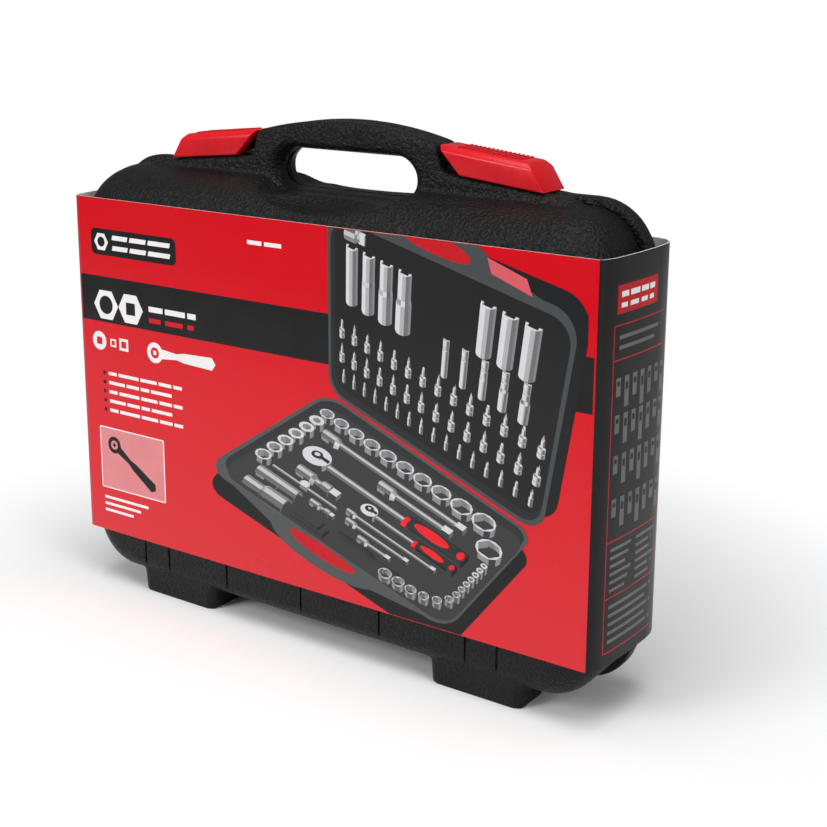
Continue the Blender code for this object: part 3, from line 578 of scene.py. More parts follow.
for side_name, mirror in (("left", -1), ("right", 1)):
    rail_end, rail_start, rail_high, rail_root = 0.0405, -0.0150, 0.0095, -0.0020
    ledge_low, ledge_high = 0.0004, 0.0035
    profile = [(rail_start, rail_root), (rail_end, rail_root), (rail_end, rail_high),
               (rail_start, rail_high)]
    rail = rounded_edges(latch_plate("rail", mirror, profile, 0.0005, 0.0082), 0.0007)
    lip = [(rail_start, ledge_low), (rail_end, ledge_low), (rail_end, ledge_high), (rail_start, ledge_high)]
    ledge = rounded_edges(latch_plate("ledge", mirror, lip, -0.0049, 0.0084), 0.0006)
    new_piece(f"latch_rail_{side_name}", smooth(joined("rails", [rail, ledge])), smooth_black,
              "rear_case")


# Latches. Glossy red injection-moulded slides with chamfered edges and cross ribs for the thumb on
# top. Each is hollow below, where it runs on its rail.

latch_half, latch_half_depth, latch_high, latch_lean = 0.0270, 0.0122, 0.0150, 0.0115
latch_red, tree, shader = node_kit("latch_red")
tone = ramp(tree, noise_texture(tree, 30, 3), (0.3, (0.56, 0.003, 0.010)), (0.7, (0.64, 0.005, 0.013)))
tree.links.new(tone, shader.inputs["Base Color"])
gloss = ramp(tree, noise_texture(tree, 180, 3), (0.3, grey(0.26)), (0.7, grey(0.36)))
tree.links.new(gloss, shader.inputs["Roughness"])
shader.inputs["Specular IOR Level"].default_value = 0.30
shader.inputs["Subsurface Weight"].default_value = 0.05
shader.inputs["Subsurface Radius"].default_value = (0.002, 0.0005, 0.0005)
bump(tree, shader, noise_texture(tree, 300, 2), 0.05, 0.00005)


def latch_mesh(mirror):
    """A raked block with a chamfered top, a groove for its rail, and ribs across its top."""
    base, chamfer_depth, chamfer_height, inner_overhang, edge_round = 0.0005, 0.0034, 0.0030, 0.0055, 0.0009
    rings = []
    rows = ((base, 0.0), (latch_high - chamfer_height, 0.0),
            (latch_high - chamfer_height * 0.3, chamfer_depth * 0.62), (latch_high, chamfer_depth))
    for height, inset in rows:
        lean = latch_lean * (height - base) / (latch_high - base)
        further = inner_overhang * (height - base) / (latch_high - base)
        ends = (lean - latch_half + inset * 0.45, lean + further + latch_half - inset * 0.15)
        depth = latch_half_depth - inset
        corners = ((ends[0], -depth), (ends[1], -depth), (ends[1], depth), (ends[0], depth))
        ring = []
        for along, y in corners:
            x, z = latch_point(mirror, along, height)
            ring.append((x, hinge_y + y, z))
        rings.append(ring)
    shape = rounded_edges(loft("latch", rings), edge_round, 3, 25)
    groove_start, groove_end, groove_low, groove_high = -0.0158, latch_half + 0.03, -0.001, 0.0100
    groove = [(groove_start, groove_low), (groove_end, groove_low), (groove_end, groove_high),
              (groove_start, groove_high)]
    shape = combined(shape, "DIFFERENCE", [latch_plate("groove", mirror, groove, -0.0055, 0.0090)])
    ribs = []
    rib_count, rib_pitch, rib_half, rib_crest, rib_high = 15, 0.0028, 0.0009, 0.4, 0.0007
    rib_root, rib_reach, rib_shift = 0.0012, 0.0078, 0.001
    for number in range(rib_count):
        along = latch_lean + (number - (rib_count - 1) / 2) * rib_pitch + rib_shift
        profile = [(along - rib_half, latch_high - rib_root), (along + rib_half, latch_high - rib_root),
                   (along + rib_half * rib_crest, latch_high + rib_high),
                   (along - rib_half * rib_crest, latch_high + rib_high)]
        ribs.append(latch_plate("rib", mirror, profile, -rib_reach, rib_reach))
    return smooth(joined("latch", [shape, *ribs]), 30)


for side_name, mirror in (("left", -1), ("right", 1)):
    latch = new_piece(f"slide_latch_{side_name}", latch_mesh(mirror), latch_red, f"latch_{side_name}")
    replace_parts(latch, f"latch_{side_name}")


# Trays. The inner wall of each case half, a matt black moulding with a soft-edged pocket for every
# tool. Each pocket follows its tool's own box, with a little clearance.

tray_recess, tray_half, tray_low, tray_skin = 0.0100, 0.1850, 0.0206, 0.0012
tray_corner, tray_top_gap = 0.027, 0.0006
bead_depth, bead_inset, bead_half = 0.0012, 0.006, 0.0022
grid_pitch = 0.0014
pocket_spare, pocket_wall = 0.0007, 0.0016
pocket_list = {-1: [], 1: []}


def round_pocket(side, x, z, radius, floor):
    reach = radius + pocket_spare
    pocket_list[side].append((x, z, reach, reach, reach, floor))


def box_pocket(side, low, high, corner=0.0025):
    """A pocket round a box: its floor just below the box's deepest side."""
    half_x, half_z = (high[0] - low[0]) / 2 + pocket_spare, (high[2] - low[2]) / 2 + pocket_spare
    floor = low[1] - pocket_spare if side < 0 else high[1] + pocket_spare
    pocket_list[side].append(((low[0] + high[0]) / 2, (low[2] + high[2]) / 2, half_x, half_z,
                              min(corner, half_x, half_z), floor))


def tray_mesh(name, side):
    """A height field: every point lies at the tray's face, or down in the deepest pocket over it."""
    face_y = hinge_y + side * tray_recess
    low, high, corner = tray_low, tray_high[side] - tray_top_gap, tray_corner
    columns = int(2 * tray_half / grid_pitch) + 1
    rows = int((high - low) / grid_pitch) + 1
    x, z = np.meshgrid(np.linspace(-tray_half, tray_half, columns), np.linspace(low, high, rows))
    depth = np.zeros_like(x)
    for middle_x, middle_z, half_x, half_z, radius, floor in pocket_list[side]:
        out_x = np.abs(x - middle_x) - (half_x - radius)
        out_z = np.abs(z - middle_z) - (half_z - radius)
        away = (np.hypot(np.maximum(out_x, 0), np.maximum(out_z, 0))
                + np.minimum(np.maximum(out_x, out_z), 0) - radius)
        share = np.clip(1 - away / pocket_wall, 0, 1)
        depth = np.maximum(depth, abs(floor - face_y) * share * share * (3 - 2 * share))
    edge = np.minimum(np.minimum(tray_half - np.abs(x), z - low), high - z)
    depth = np.maximum(depth, bead_depth * np.clip(1 - np.abs(edge - bead_inset) / bead_half, 0, 1))
    middle = (low + high) / 2
    from_x = np.abs(x) - (tray_half - corner)
    from_z = np.abs(z - middle) - ((high - low) / 2 - corner)
    span = np.hypot(from_x, from_z)
    pull = np.where((from_x > 0) & (from_z > 0) & (span > corner), corner / np.maximum(span, 1e-9), 1.0)
    x = np.where(pull < 1, np.sign(x) * (tray_half - corner + from_x * pull), x)
    z = np.where(pull < 1, middle + np.sign(z - middle) * ((high - low) / 2 - corner + from_z * pull), z)
    front = np.stack([x, face_y + side * depth, z], -1).reshape(-1, 3)
    back = front + np.array([0, side * tray_skin, 0])
    count = rows * columns
    faces = []
    for r in range(rows - 1):
        for c in range(columns - 1):
            a = r * columns + c
            faces.append((a, a + 1, a + columns + 1, a + columns))
            faces.append((count + a, count + a + columns, count + a + columns + 1, count + a + 1))
    rim = ([c for c in range(columns - 1)] + [r * columns + columns - 1 for r in range(rows - 1)]
           + [(rows - 1) * columns + c for c in range(columns - 1, 0, -1)]
           + [r * columns for r in range(rows - 1, 0, -1)])
    for a, b in zip(rim, rim[1:] + rim[:1]):
        faces.append((a, b, count + b, count + a))
    return smooth(mesh_from(name, np.concatenate([front, back]), faces), 50)


tray_plastic = pebbled_plastic("tray_plastic", 0.0011, 0.00018, grey(0.014), grey(0.022), 0.55)


# Sockets. Forged chrome-vanadium steel, turned and bright chrome plated: a square drive hole at one
# end, a hexagon with a chamfered mouth at the other, and a shallow groove round the neck.

half_drive, quarter_drive = 0.0127, 0.00635
neck_per_drive = 0.866
chrome, tree, shader = node_kit("chrome_plate")
shader.inputs["Metallic"].default_value = 1.0
tone = ramp(tree, noise_texture(tree, 120, 4), (0.3, (0.70, 0.71, 0.73)), (0.7, (0.82, 0.83, 0.85)))
tree.links.new(tone, shader.inputs["Base Color"])
gloss = ramp(tree, noise_texture(tree, 350, 4), (0.3, grey(0.10)), (0.75, grey(0.24)))
tree.links.new(gloss, shader.inputs["Roughness"])
bump(tree, shader, noise_texture(tree, 900, 2), 0.06, 0.00003)


def placed(point, direction):
    """Matrix that lays +Z along a direction, from a point."""
    turn = Vector((0, 0, 1)).rotation_difference(Vector(direction)).to_matrix().to_4x4()
    return Matrix.Translation(point) @ turn


def lathe(name, profile, place, sides=40):
    """A turned solid: profile is (distance along, radius)."""
    rings = []
    for along, radius in profile:
        rings.append([place @ Vector((radius * math.cos(a), radius * math.sin(a), along))
                      for a in (2 * math.pi * i / sides for i in range(sides))])
    return loft(name, rings)


def prism(name, place, radius, sides, low, high, end_radius=None):
    rings = []
    for along, r in ((low, radius), (high, radius if end_radius is None else end_radius)):
        rings.append([place @ Vector((r * math.cos(a), r * math.sin(a), along))
                      for a in (2 * math.pi * (i + 0.5) / sides for i in range(sides))])
    return loft(name, rings)


def socket_mesh(size, place, length, drive, radius, sides=40):
    """Drive end at the base, nut end at the far end; size is the nut's width in millimetres."""
    millimetre, fit, web = 0.001, 0.0002, 0.002
    chamfer_share, waist_share, nut_share, nut_floor_share = 0.07, 0.42, 0.50, 0.56
    groove_share, groove_span = 0.955, (0.42, 0.45, 0.60, 0.63)
    neck = drive * neck_per_drive
    chamfer = radius * chamfer_share
    waist = length * waist_share
    groove = neck * groove_share
    profile = [(0, neck - chamfer), (chamfer, neck), (waist * groove_span[0], neck),
               (waist * groove_span[1], groove), (waist * groove_span[2], groove),
               (waist * groove_span[3], neck), (waist, neck), (length * nut_share, radius),
               (length - chamfer, radius), (length, radius - chamfer)]
    solid = lathe("socket", profile, place, sides)
    across = millimetre * size / math.sqrt(3) + fit
    deep = max(length * nut_floor_share, drive + web)
    mouth = [(length - 0.0011, across * 0.86), (length + 0.0005, across * 1.06)]
    return combined(solid, "DIFFERENCE", [
        prism("square", place, (drive / 2 + fit) * math.sqrt(2), 4, -millimetre, drive),
        prism("hexagon", place, across, 6, deep, length + fit / 2),
        lathe("mouth", mouth, place, sides)])


def radius_of(node):
    low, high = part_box(node)
    return min(high.x - low.x, high.y - low.y, high.z - low.z) / 2


picture_pieces = []
for node in sorted(frame["nodes"]):
    if not node.startswith(("socket_", "spark_plug")):
        continue
    low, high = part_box(node)
    middle = (low + high) / 2
    size = int(node.split("_")[-1][:-2])
    if node.startswith("socket_half"):
        body, place, length = "front_case", placed((middle.x, low.y, middle.z), (0, 1, 0)), high.y - low.y
        round_pocket(-1, middle.x, middle.z, (high.x - low.x) / 2, low.y)
    elif node.startswith("spark_plug"):
        body, place, length = "front_case", placed((low.x, middle.y, middle.z), (1, 0, 0)), high.x - low.x
        box_pocket(-1, low, high)
    else:
        body, place, length = "rear_case", placed((middle.x, middle.y, high.z), (0, 0, -1)), high.z - low.z
        box_pocket(1, low, high)
    mesh = socket_mesh(size, place, length, half_drive, radius_of(node))
    piece = new_piece(node.replace("mm", "") + "_chromed", smooth(mesh, 28), chrome, body)
    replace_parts(piece, node)


# Quarter-inch sockets. The same kind, half the size: a column along the case's edge that turns the
# corner under the handle, their nut ends up, and a row of deep ones lying in the rear half.

small_length, small_deep_length, small_top_y = 0.025, 0.050, 0.0035
small_row = [(4, 0.1640, 0.1290), (4.5, 0.1640, 0.1420), (5, 0.1640, 0.1550), (5.5, 0.1640, 0.1680),
             (6, 0.1640, 0.1815), (7, 0.1640, 0.1955), (8, 0.1640, 0.2100), (9, 0.1610, 0.2255),
             (10, 0.1500, 0.2400), (11, 0.1330, 0.2480), (12, 0.1145, 0.2520), (13, 0.0950, 0.2530),
             (14, 0.0745, 0.2540)]


def small_radius(size):
    """Outer radius of a quarter-inch socket for a nut's width in millimetres."""
    return max(quarter_drive * neck_per_drive, 0.001 * (size * 0.62 + 1.0))


for size, x, z in small_row:
    base = small_top_y - small_length
    place = placed((x, base, z), (0, 1, 0))
    mesh = socket_mesh(size, place, small_length, quarter_drive, small_radius(size), 28)
    tag = str(size).replace(".", "_")
    new_piece(f"quarter_socket_{tag}", smooth(mesh, 28), chrome, "front_case")
    round_pocket(-1, x, z, small_radius(size), base)
    picture_pieces.append((f"quarter_socket_{tag}", -1))

deep_first_x, deep_pitch, low_z, deep_axis = 0.0200, 0.0295, 0.1290, 0.0155
for number, size in enumerate((6, 7, 8, 9, 10)):
    x, radius = deep_first_x + deep_pitch * number, small_radius(size)
    y = hinge_y + deep_axis
    place = placed((x, y, low_z + small_deep_length), (0, 0, -1))
    mesh = socket_mesh(size, place, small_deep_length, quarter_drive, radius, 28)
    new_piece(f"quarter_deep_socket_{size}", smooth(mesh, 28), chrome, "rear_case")
    box_pocket(1, (x - radius, y - radius, low_z), (x + radius, y + radius, low_z + small_deep_length))
    picture_pieces.append((f"quarter_deep_socket_{size}", 1))


# Bits and bit sockets. Two rows of short chromed sockets with screwdriver, hexagon and star tips
# pressed in, and a lower row of loose quarter-inch hexagon bits, all in clips of the rear tray.

bit_steel, tree, shader = node_kit("bit_steel")
shader.inputs["Metallic"].default_value = 1.0
tone = ramp(tree, noise_texture(tree, 200, 3), (0.3, (0.42, 0.43, 0.45)), (0.7, (0.56, 0.57, 0.59)))
tree.links.new(tone, shader.inputs["Base Color"])
shader.inputs["Roughness"].default_value = 0.30
bump(tree, shader, noise_texture(tree, 1200, 2), 0.10, 0.00003)
tip_sides = (4, 6, 3, 5, 4, 6)
holder_radius, holder_reach, bit_half, bit_reach, bit_axis = 0.0056, 0.0310, 0.0036, 0.0280, 0.0150
holder_profile = [(0, 0.0050), (0.0006, 0.0056), (0.0060, 0.0056), (0.0064, 0.0052), (0.0082, 0.0052),
                  (0.0086, 0.0056), (0.0130, 0.0056), (0.0140, 0.0045)]


def bit_tip(place, low, radius, sides):
    """A shank that tapers to a tip with a few flats."""
    shank = [(low, radius), (low + 0.009, radius), (low + 0.011, radius * 0.8)]
    point = prism("point", place, radius * 0.85, sides, low + 0.0105, low + 0.0180, radius * 0.42)
    return joined("tip", [lathe("shank", shank, place, 16), point])


# Each row: low z, first x, count, pitch, and whether its bits are pressed in sockets.
bit_rows = ((0.1000, -0.1680, 14, 0.0258, True), (0.0625, -0.1680, 14, 0.0258, True),
            (0.0300, -0.1640, 16, 0.0219, False))
for row_number, (low_z, first_x, count, pitch, in_socket) in enumerate(bit_rows):
    for number in range(count):
        x = first_x + pitch * number
        y = hinge_y + bit_axis
        place = placed((x, y, low_z), (0, 0, 1))
        sides = tip_sides[(number + row_number) % len(tip_sides)]
        name = f"bit_{row_number}_{number}"
        if in_socket:
            half, reach = holder_radius, holder_reach
            holder = lathe("holder", holder_profile, place, 24)
            mesh = joined(name, [holder, bit_tip(place, 0.0130, 0.0030, sides)])
        else:
            half, reach = bit_half, bit_reach
            shaft = prism("shaft", place, bit_half, 6, 0.0, 0.0120)
            mesh = joined(name, [shaft, bit_tip(place, 0.0100, 0.0026, sides)])
        box_pocket(1, (x - half, y - half, low_z), (x + half, y + half, low_z + reach))
        new_piece(name, smooth(mesh, 28), chrome if in_socket else bit_steel, "rear_case")
        picture_pieces.append((name, 1))


# Bars, joints and adapter. Turned chrome-plated steel with square ends: extensions, universal joints,
# the spinner with its black handle, the drive adapter and the T-bar with its sliding head.


def square_end(place, start, drive):
    """A square drive with a chamfered tip and the steel ball that holds a socket."""
    wide, narrow = drive / math.sqrt(2) * 0.985, drive / math.sqrt(2) * 0.80
    chamfer, overlap, root = 0.0013, 0.0001, 0.001
    end = start + drive
    block = prism("drive", place, wide, 4, start - root, end - chamfer + overlap)
    tip = prism("tip", place, wide, 4, end - chamfer, end, narrow)
    centre = place @ Vector((drive * 0.40, 0, start + drive * 0.55))
    ball = placed(centre, place.to_3x3() @ Vector((1, 0, 0)))
    dome = [(0, drive * 0.15), (drive * 0.08, drive * 0.13), (drive * 0.13, drive * 0.06)]
    dot = lathe("ball", dome, ball, 12)
    return [block, tip, dot]


def eased(profile, chamfer=0.0006):
    """The profile with its two ends chamfered."""
    (first, wide), (last, thin) = profile[0], profile[-1]
    return [(first, wide - chamfer), (first + chamfer, wide), *profile[1:-1], (last - chamfer, thin),
            (last, thin - chamfer)]


def bar_profile(length, collar, shaft):
    """An extension: a grooved collar, a taper to the shaft, and a thicker end behind the drive."""
    return eased([(0, collar), (1.9 * collar, collar), (2.05 * collar, collar * 0.92),
                  (2.2 * collar, collar), (3.2 * collar, shaft), (length - 2.6 * shaft, shaft),
                  (length - 1.9 * shaft, shaft * 1.25), (length, shaft * 1.25)])


bar_tools = (("extension_half_long", half_drive, bar_profile(0.235, 0.0105, 0.0062)),
             ("extension_half_short", half_drive, bar_profile(0.112, 0.0105, 0.0062)),
             ("flexible_extension", quarter_drive, bar_profile(0.140, 0.0055, 0.0034)),
             ("extension_quarter_long", quarter_drive, bar_profile(0.095, 0.0060, 0.0035)),
             ("extension_quarter_short", quarter_drive, bar_profile(0.045, 0.0060, 0.0035)),
             ("universal_joint_half", half_drive,
              eased([(0, 0.0108), (0.022, 0.0108), (0.026, 0.0072), (0.039, 0.0072), (0.043, 0.0102),
                     (0.054, 0.0102)])),
             ("universal_joint_quarter", quarter_drive,
              eased([(0, 0.0061), (0.013, 0.0061), (0.016, 0.0040), (0.022, 0.0040), (0.0245, 0.0058),
                     (0.031, 0.0058)])))
for node, drive, profile in bar_tools:
    low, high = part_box(node)
    middle = (low + high) / 2
    place = placed((low.x, middle.y, middle.z), (1, 0, 0))
    length = profile[-1][0]
    solid = lathe(node, profile, place)
    if node.startswith("universal"):
        thickness = radius_of(node)
        first_x, last_x = low.x + length * 0.38, low.x + length * 0.75
        slots = []
        for s in (-1, 1):
            near, far = middle.z + s * thickness * 0.5, middle.z + s * 2 * thickness
            slots.append(plate("slot", [(first_x, near), (last_x, near), (last_x, far), (first_x, far)],
                               middle.y - 2 * thickness, middle.y + 2 * thickness))
        solid = combined(solid, "DIFFERENCE", slots)
        pin_x, cross_x = middle.x - drive * 0.1, middle.x + drive * 0.25
        pin_reach, cross_reach, pin_radius = thickness * 0.98, thickness * 0.9, thickness * 0.3
        pin = rod("pin", (pin_x, middle.y - pin_reach, middle.z), (pin_x, middle.y + pin_reach, middle.z),
                  pin_radius, 16)
        cross = rod("pin", (cross_x, middle.y, middle.z - cross_reach),
                    (cross_x, middle.y, middle.z + cross_reach), pin_radius, 16)
        solid = joined(node, [solid, pin, cross])
    mesh = joined(node, [solid, *square_end(place, length, drive)])
    piece = new_piece(node + "_chromed", smooth(mesh, 28), chrome, "front_case")
    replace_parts(piece, node)
    box_pocket(-1, low, high)

low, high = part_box("drive_adapter")
middle = (low + high) / 2
place = placed((low.x, middle.y, middle.z), (1, 0, 0))
adapter_length, adapter_drive = 0.028, 0.009
adapter = lathe("adapter", eased([(0, 0.0105), (0.012, 0.0105), (0.013, 0.0098), (0.016, 0.0098),
                                  (0.017, 0.0105), (0.020, 0.0105), (0.024, 0.0075),
                                  (adapter_length, 0.0075)]), place)
mesh = joined("adapter", [adapter, *square_end(place, adapter_length, adapter_drive)])
piece = new_piece("drive_adapter_chromed", smooth(mesh, 28), chrome, "rear_case")
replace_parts(piece, "drive_adapter")
box_pocket(1, low, high)

for node in ("t_bar_rod", "t_bar_head"):
    low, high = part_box(node)
    middle = (low + high) / 2
    if node == "t_bar_rod":
        radius = (high.z - low.z) / 2
        place = placed((low.x, middle.y, middle.z), (1, 0, 0))
        mesh = lathe(node, eased([(0, radius), (high.x - low.x, radius)]), place, 32)
        box_pocket(-1, low, high)
    else:
        radius = (high.x - low.x) / 2
        place = placed((middle.x, high.y, middle.z), (0, -1, 0))
        head = lathe(node, eased([(0, radius * 0.99), (2 * radius, radius * 0.99)]), place, 32)
        rod_low, rod_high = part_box("t_bar_rod")
        rod_middle = (rod_low + rod_high) / 2
        bore = rod("bore", (rod_low.x, rod_middle.y, rod_middle.z), (rod_high.x, rod_middle.y, rod_middle.z),
                   (rod_high.z - rod_low.z) / 2 + 0.0003)
        head = combined(head, "DIFFERENCE", [bore])
        mesh = joined(node, [head, *square_end(place, 2 * radius, quarter_drive)])
        round_pocket(-1, middle.x, middle.z, radius, low.y - 0.0003)
    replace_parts(new_piece(node + "_chromed", smooth(mesh, 28), chrome, "front_case"), node)


# Grips. Two-colour moulded handles: hard black plastic with soft red inlays and a red collar, pushed
# on the ratchets' shanks. The spinner has a plain black handle with flutes.

grip_black = pebbled_plastic("grip_black", 0.0007, 0.00010, grey(0.012), grey(0.020), 0.38)
grip_red, tree, shader = node_kit("grip_red")
tone = ramp(tree, noise_texture(tree, 60, 3), (0.3, (0.52, 0.006, 0.012)), (0.7, (0.60, 0.010, 0.018)))
tree.links.new(tone, shader.inputs["Base Color"])
shader.inputs["Roughness"].default_value = 0.42
bump(tree, shader, noise_texture(tree, 900, 2), 0.15, 0.00005)


def grip_rings(low, high, swell, first, last):
    """Oval rings along +X between two shares of the length, thicker and thinner as a hand wants it."""
    middle = (low + high) / 2
    half_y, half_z = (high.y - low.y) / 2, (high.z - low.z) / 2
    rings = []
    for step in range(25):
        share = first + (last - first) * step / 24
        wave = swell(share)
        ring = []
        for i in range(36):
            a = 2 * math.pi * i / 36
            c, s = math.cos(a), math.sin(a)
            ring.append((low.x + (high.x - low.x) * share,
                         middle.y + half_y * wave * math.copysign(abs(c) ** 0.8, c),
                         middle.z + half_z * wave * math.copysign(abs(s) ** 0.8, s)))
        rings.append(ring)
    return rings


def hand_swell(share):
    """Narrow at the collar, full in the palm, waisted, then flared at the butt."""
    neck, palm, flare, waist_at, round_from, butt = 0.76, 0.16, 0.16, 0.62, 0.93, 0.35
    ends = 1.0
    if share > round_from:
        ends = math.sqrt(max(0.0, 1 - ((share - round_from) / 0.07) ** 2))
    width = neck + palm * math.sin(math.pi * min(share / waist_at, 1.0))
    return (width + flare * max(0, share - waist_at) / 0.3) * max(ends, butt)


for tag in ("half", "quarter"):
    low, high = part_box(f"ratchet_{tag}_grip")
    middle = (low + high) / 2
    handle = loft("grip", grip_rings(low, high, lambda s: min(hand_swell(s), 0.99), 0.03, 1.0))
    collar = loft("collar", grip_rings(low, high, lambda s: 0.84 - 1.2 * abs(s - 0.03), 0.0, 0.07))
    inlays = []
    reach = high.x - low.x
    for start, end, width in ((0.16, 0.72, 0.34), (0.86, 0.97, 0.30)):
        ring = []
        for i in range(40):
            a = 2 * math.pi * i / 40
            x = low.x + reach * ((start + end) / 2 + (end - start) / 2 * math.cos(a))
            z = middle.z + (high.z - low.z) * width * math.sin(a)
            ring.append((x, z))
        depth = high.y - low.y
        pad = plate("pad", ring, middle.y + depth * 0.18, middle.y + depth * 0.497)
        inlays.append(rounded_edges(pad, 0.0008, 2, 50))
    body = new_piece(f"ratchet_{tag}_grip_black", smooth(handle, 50), grip_black, "front_case")
    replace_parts(body, f"ratchet_{tag}_grip")
    new_piece(f"ratchet_{tag}_grip_inlays", smooth(joined("inlays", [collar, *inlays]), 50), grip_red,
              "front_case")
    box_pocket(-1, low, high, 0.006)
    picture_pieces.append((f"ratchet_{tag}_grip_inlays", -1))

low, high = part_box("spinner_handle")
middle = (low + high) / 2
place = placed((low.x, middle.y, middle.z), (1, 0, 0))
spindle_start, spindle_end, spindle_radius = 0.048, 0.090, 0.0036
shaft = lathe("shaft", eased([(spindle_start, spindle_radius), (spindle_end, spindle_radius)]), place)
spindle = joined("spindle", [shaft, *square_end(place, spindle_end, quarter_drive)])
piece = new_piece("spinner_shaft_chromed", smooth(spindle, 28), chrome, "front_case")
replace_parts(piece, "spinner_handle")
spinner_profile = ((0, 0.0060), (0.0010, 0.0069), (0.008, 0.0069), (0.010, 0.0066), (0.044, 0.0066),
                   (0.050, 0.0066), (0.056, 0.0045))
flute_depth, fluted = 0.0007, []
for step, (along, radius) in enumerate(spinner_profile):
    flute = flute_depth if 2 < step < 6 else 0.0
    fluted.append([place @ Vector(((radius - flute * (i % 6 < 2)) * math.cos(a),
                                   (radius - flute * (i % 6 < 2)) * math.sin(a), along))
                   for i, a in ((i, 2 * math.pi * i / 48) for i in range(48))])
new_piece("spinner_grip", smooth(loft("spinner", fluted), 30), grip_black, "front_case")
box_pocket(-1, low, high)


# Ratchets. Forged chrome-plated bodies, a round head that flows into the shank, with the square drive
# below, and a black direction lever round the steel release button on the back.

lever_black = pebbled_plastic("lever_black", 0.0006, 0.00006, grey(0.010), grey(0.016), 0.35)
button_steel, tree, shader = node_kit("button_steel")
shader.inputs["Metallic"].default_value = 1.0
tone = ramp(tree, noise_texture(tree, 300, 3), (0.3, (0.45, 0.45, 0.46)), (0.7, (0.60, 0.60, 0.62)))
tree.links.new(tone, shader.inputs["Base Color"])
shader.inputs["Roughness"].default_value = 0.28
bump(tree, shader, noise_texture(tree, 1500, 2), 0.10, 0.00003)

for tag in ("half", "quarter"):
    low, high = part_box(f"ratchet_{tag}_body")
    drive_low, drive_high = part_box(f"ratchet_{tag}_drive")
    grip_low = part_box(f"ratchet_{tag}_grip")[0]
    button_low, button_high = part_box(f"ratchet_{tag}_button")
    middle = (low + high) / 2
    head_x = (drive_low.x + drive_high.x) / 2
    head, thickness = head_x - low.x, high.y - low.y
    shank = thickness * 0.34
    outline, rim = [], head * 0.985
    for step in range(33):
        a = math.radians(42) + math.radians(276) * step / 32
        outline.append((head_x + rim * math.cos(a), middle.z + rim * math.sin(a)))
    neck_x = head_x + head * 2.1
    outline += [(neck_x, middle.z - shank * 1.1), (neck_x, middle.z + shank * 1.1)]
    slab = plate("head", outline, low.y + 0.0001, high.y - 0.0001)
    slab = rounded_edges(slab, thickness * 0.10, 3, 50)
    reach = grip_low.x - head_x
    stem = lathe("shank", [(0, shank * 1.35), (head * 1.4, shank * 1.05), (reach, shank * 0.92),
                           (reach + 0.004, shank * 0.9)],
                 placed((head_x + head * 0.3, middle.y, middle.z), (1, 0, 0)))
    forged = combined(slab, "UNION", [stem])
    forged = worked(forged, ("REMESH", {"mode": "VOXEL", "voxel_size": 0.0007}),
                    ("SMOOTH", {"factor": 0.5, "iterations": 3}), ("DECIMATE", {"ratio": 0.35}))
    clearance, past, bore_share, well_depth = 0.0003, 0.001, 0.30, 0.0042
    flange = (drive_high.x - drive_low.x) / 2 + clearance
    bore = rod("bore", (head_x, low.y - past, middle.z),
               (head_x, low.y + thickness * bore_share, middle.z), flange)
    well = rod("well", (head_x, high.y - well_depth, middle.z), (head_x, high.y + past, middle.z),
               (button_high.x - button_low.x) / 2 + clearance)
    forged = combined(forged, "DIFFERENCE", [bore, well])
    piece = new_piece(f"ratchet_{tag}_forging", smooth(forged, 40), chrome, "front_case")
    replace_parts(piece, f"ratchet_{tag}_body")
    round_pocket(-1, head_x, middle.z, head, low.y - 0.0003)
    round_pocket(-1, head_x, middle.z, (drive_high.x - drive_low.x) / 2, drive_low.y - 0.0003)
    box_pocket(-1, (head_x, middle.y - shank, middle.z - shank), (grip_low.x + 0.002, 0, middle.z + shank))
    for node, look in ((f"ratchet_{tag}_drive", chrome), (f"ratchet_{tag}_button", button_steel),
                       (f"ratchet_{tag}_lever", lever_black)):
        frame["nodes"][node].material_slots[0].material = look


# Hexagon keys and hinge pins. The keys are bent from hexagon steel wire and blackened. The pins are
# drawn steel, pushed through the barrels between the feet.

key_black, tree, shader = node_kit("key_black")
tone = ramp(tree, noise_texture(tree, 250, 3), (0.3, grey(0.015)), (0.7, grey(0.035)))
tree.links.new(tone, shader.inputs["Base Color"])
shader.inputs["Metallic"].default_value = 0.6
shader.inputs["Roughness"].default_value = 0.35
bump(tree, shader, noise_texture(tree, 900, 2), 0.10, 0.00003)
for node in ("hex_key_large", "hex_key_small"):
    frame["nodes"][node].material_slots[0].material = key_black
    box_pocket(-1, *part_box(node), 0.0012)
for node in ("hinge_pin_left", "hinge_pin_right"):
    frame["nodes"][node].material_slots[0].material = button_steel


# Tray walls. The two trays themselves, made here because every tool has by now left its pocket in
# pocket_list. Each is fixed inside its own half of the case.

for name, side, body in (("front_case_tray", -1, "front_case"), ("rear_case_tray", 1, "rear_case")):
    tray = new_piece(name, tray_mesh(name, side), tray_plastic, body)
    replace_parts(tray, "front_tray" if side < 0 else "rear_tray")


# Sleeve. A band of folded card round the case, gloss laminated and printed. Its front corners are
# soft folds, and the sides run back to round the rim. Its cut edges show the pale core.

sleeve_low, sleeve_high, card_thick = 0.0375, 0.2615, 0.0008
panel_y = -0.0391
plan_half = [(0.1855, panel_y), (0.1878, -0.0388), (0.1894, -0.0378), (0.1904, -0.0360), (0.1924, -0.0300),
             (0.1937, -0.0180), (0.1946, -0.0060), (0.1950, 0.0060), (0.1951, 0.0180), (0.1945, 0.0260),
             (0.1925, 0.0322), (0.1885, 0.0368), (0.1820, 0.0390)]


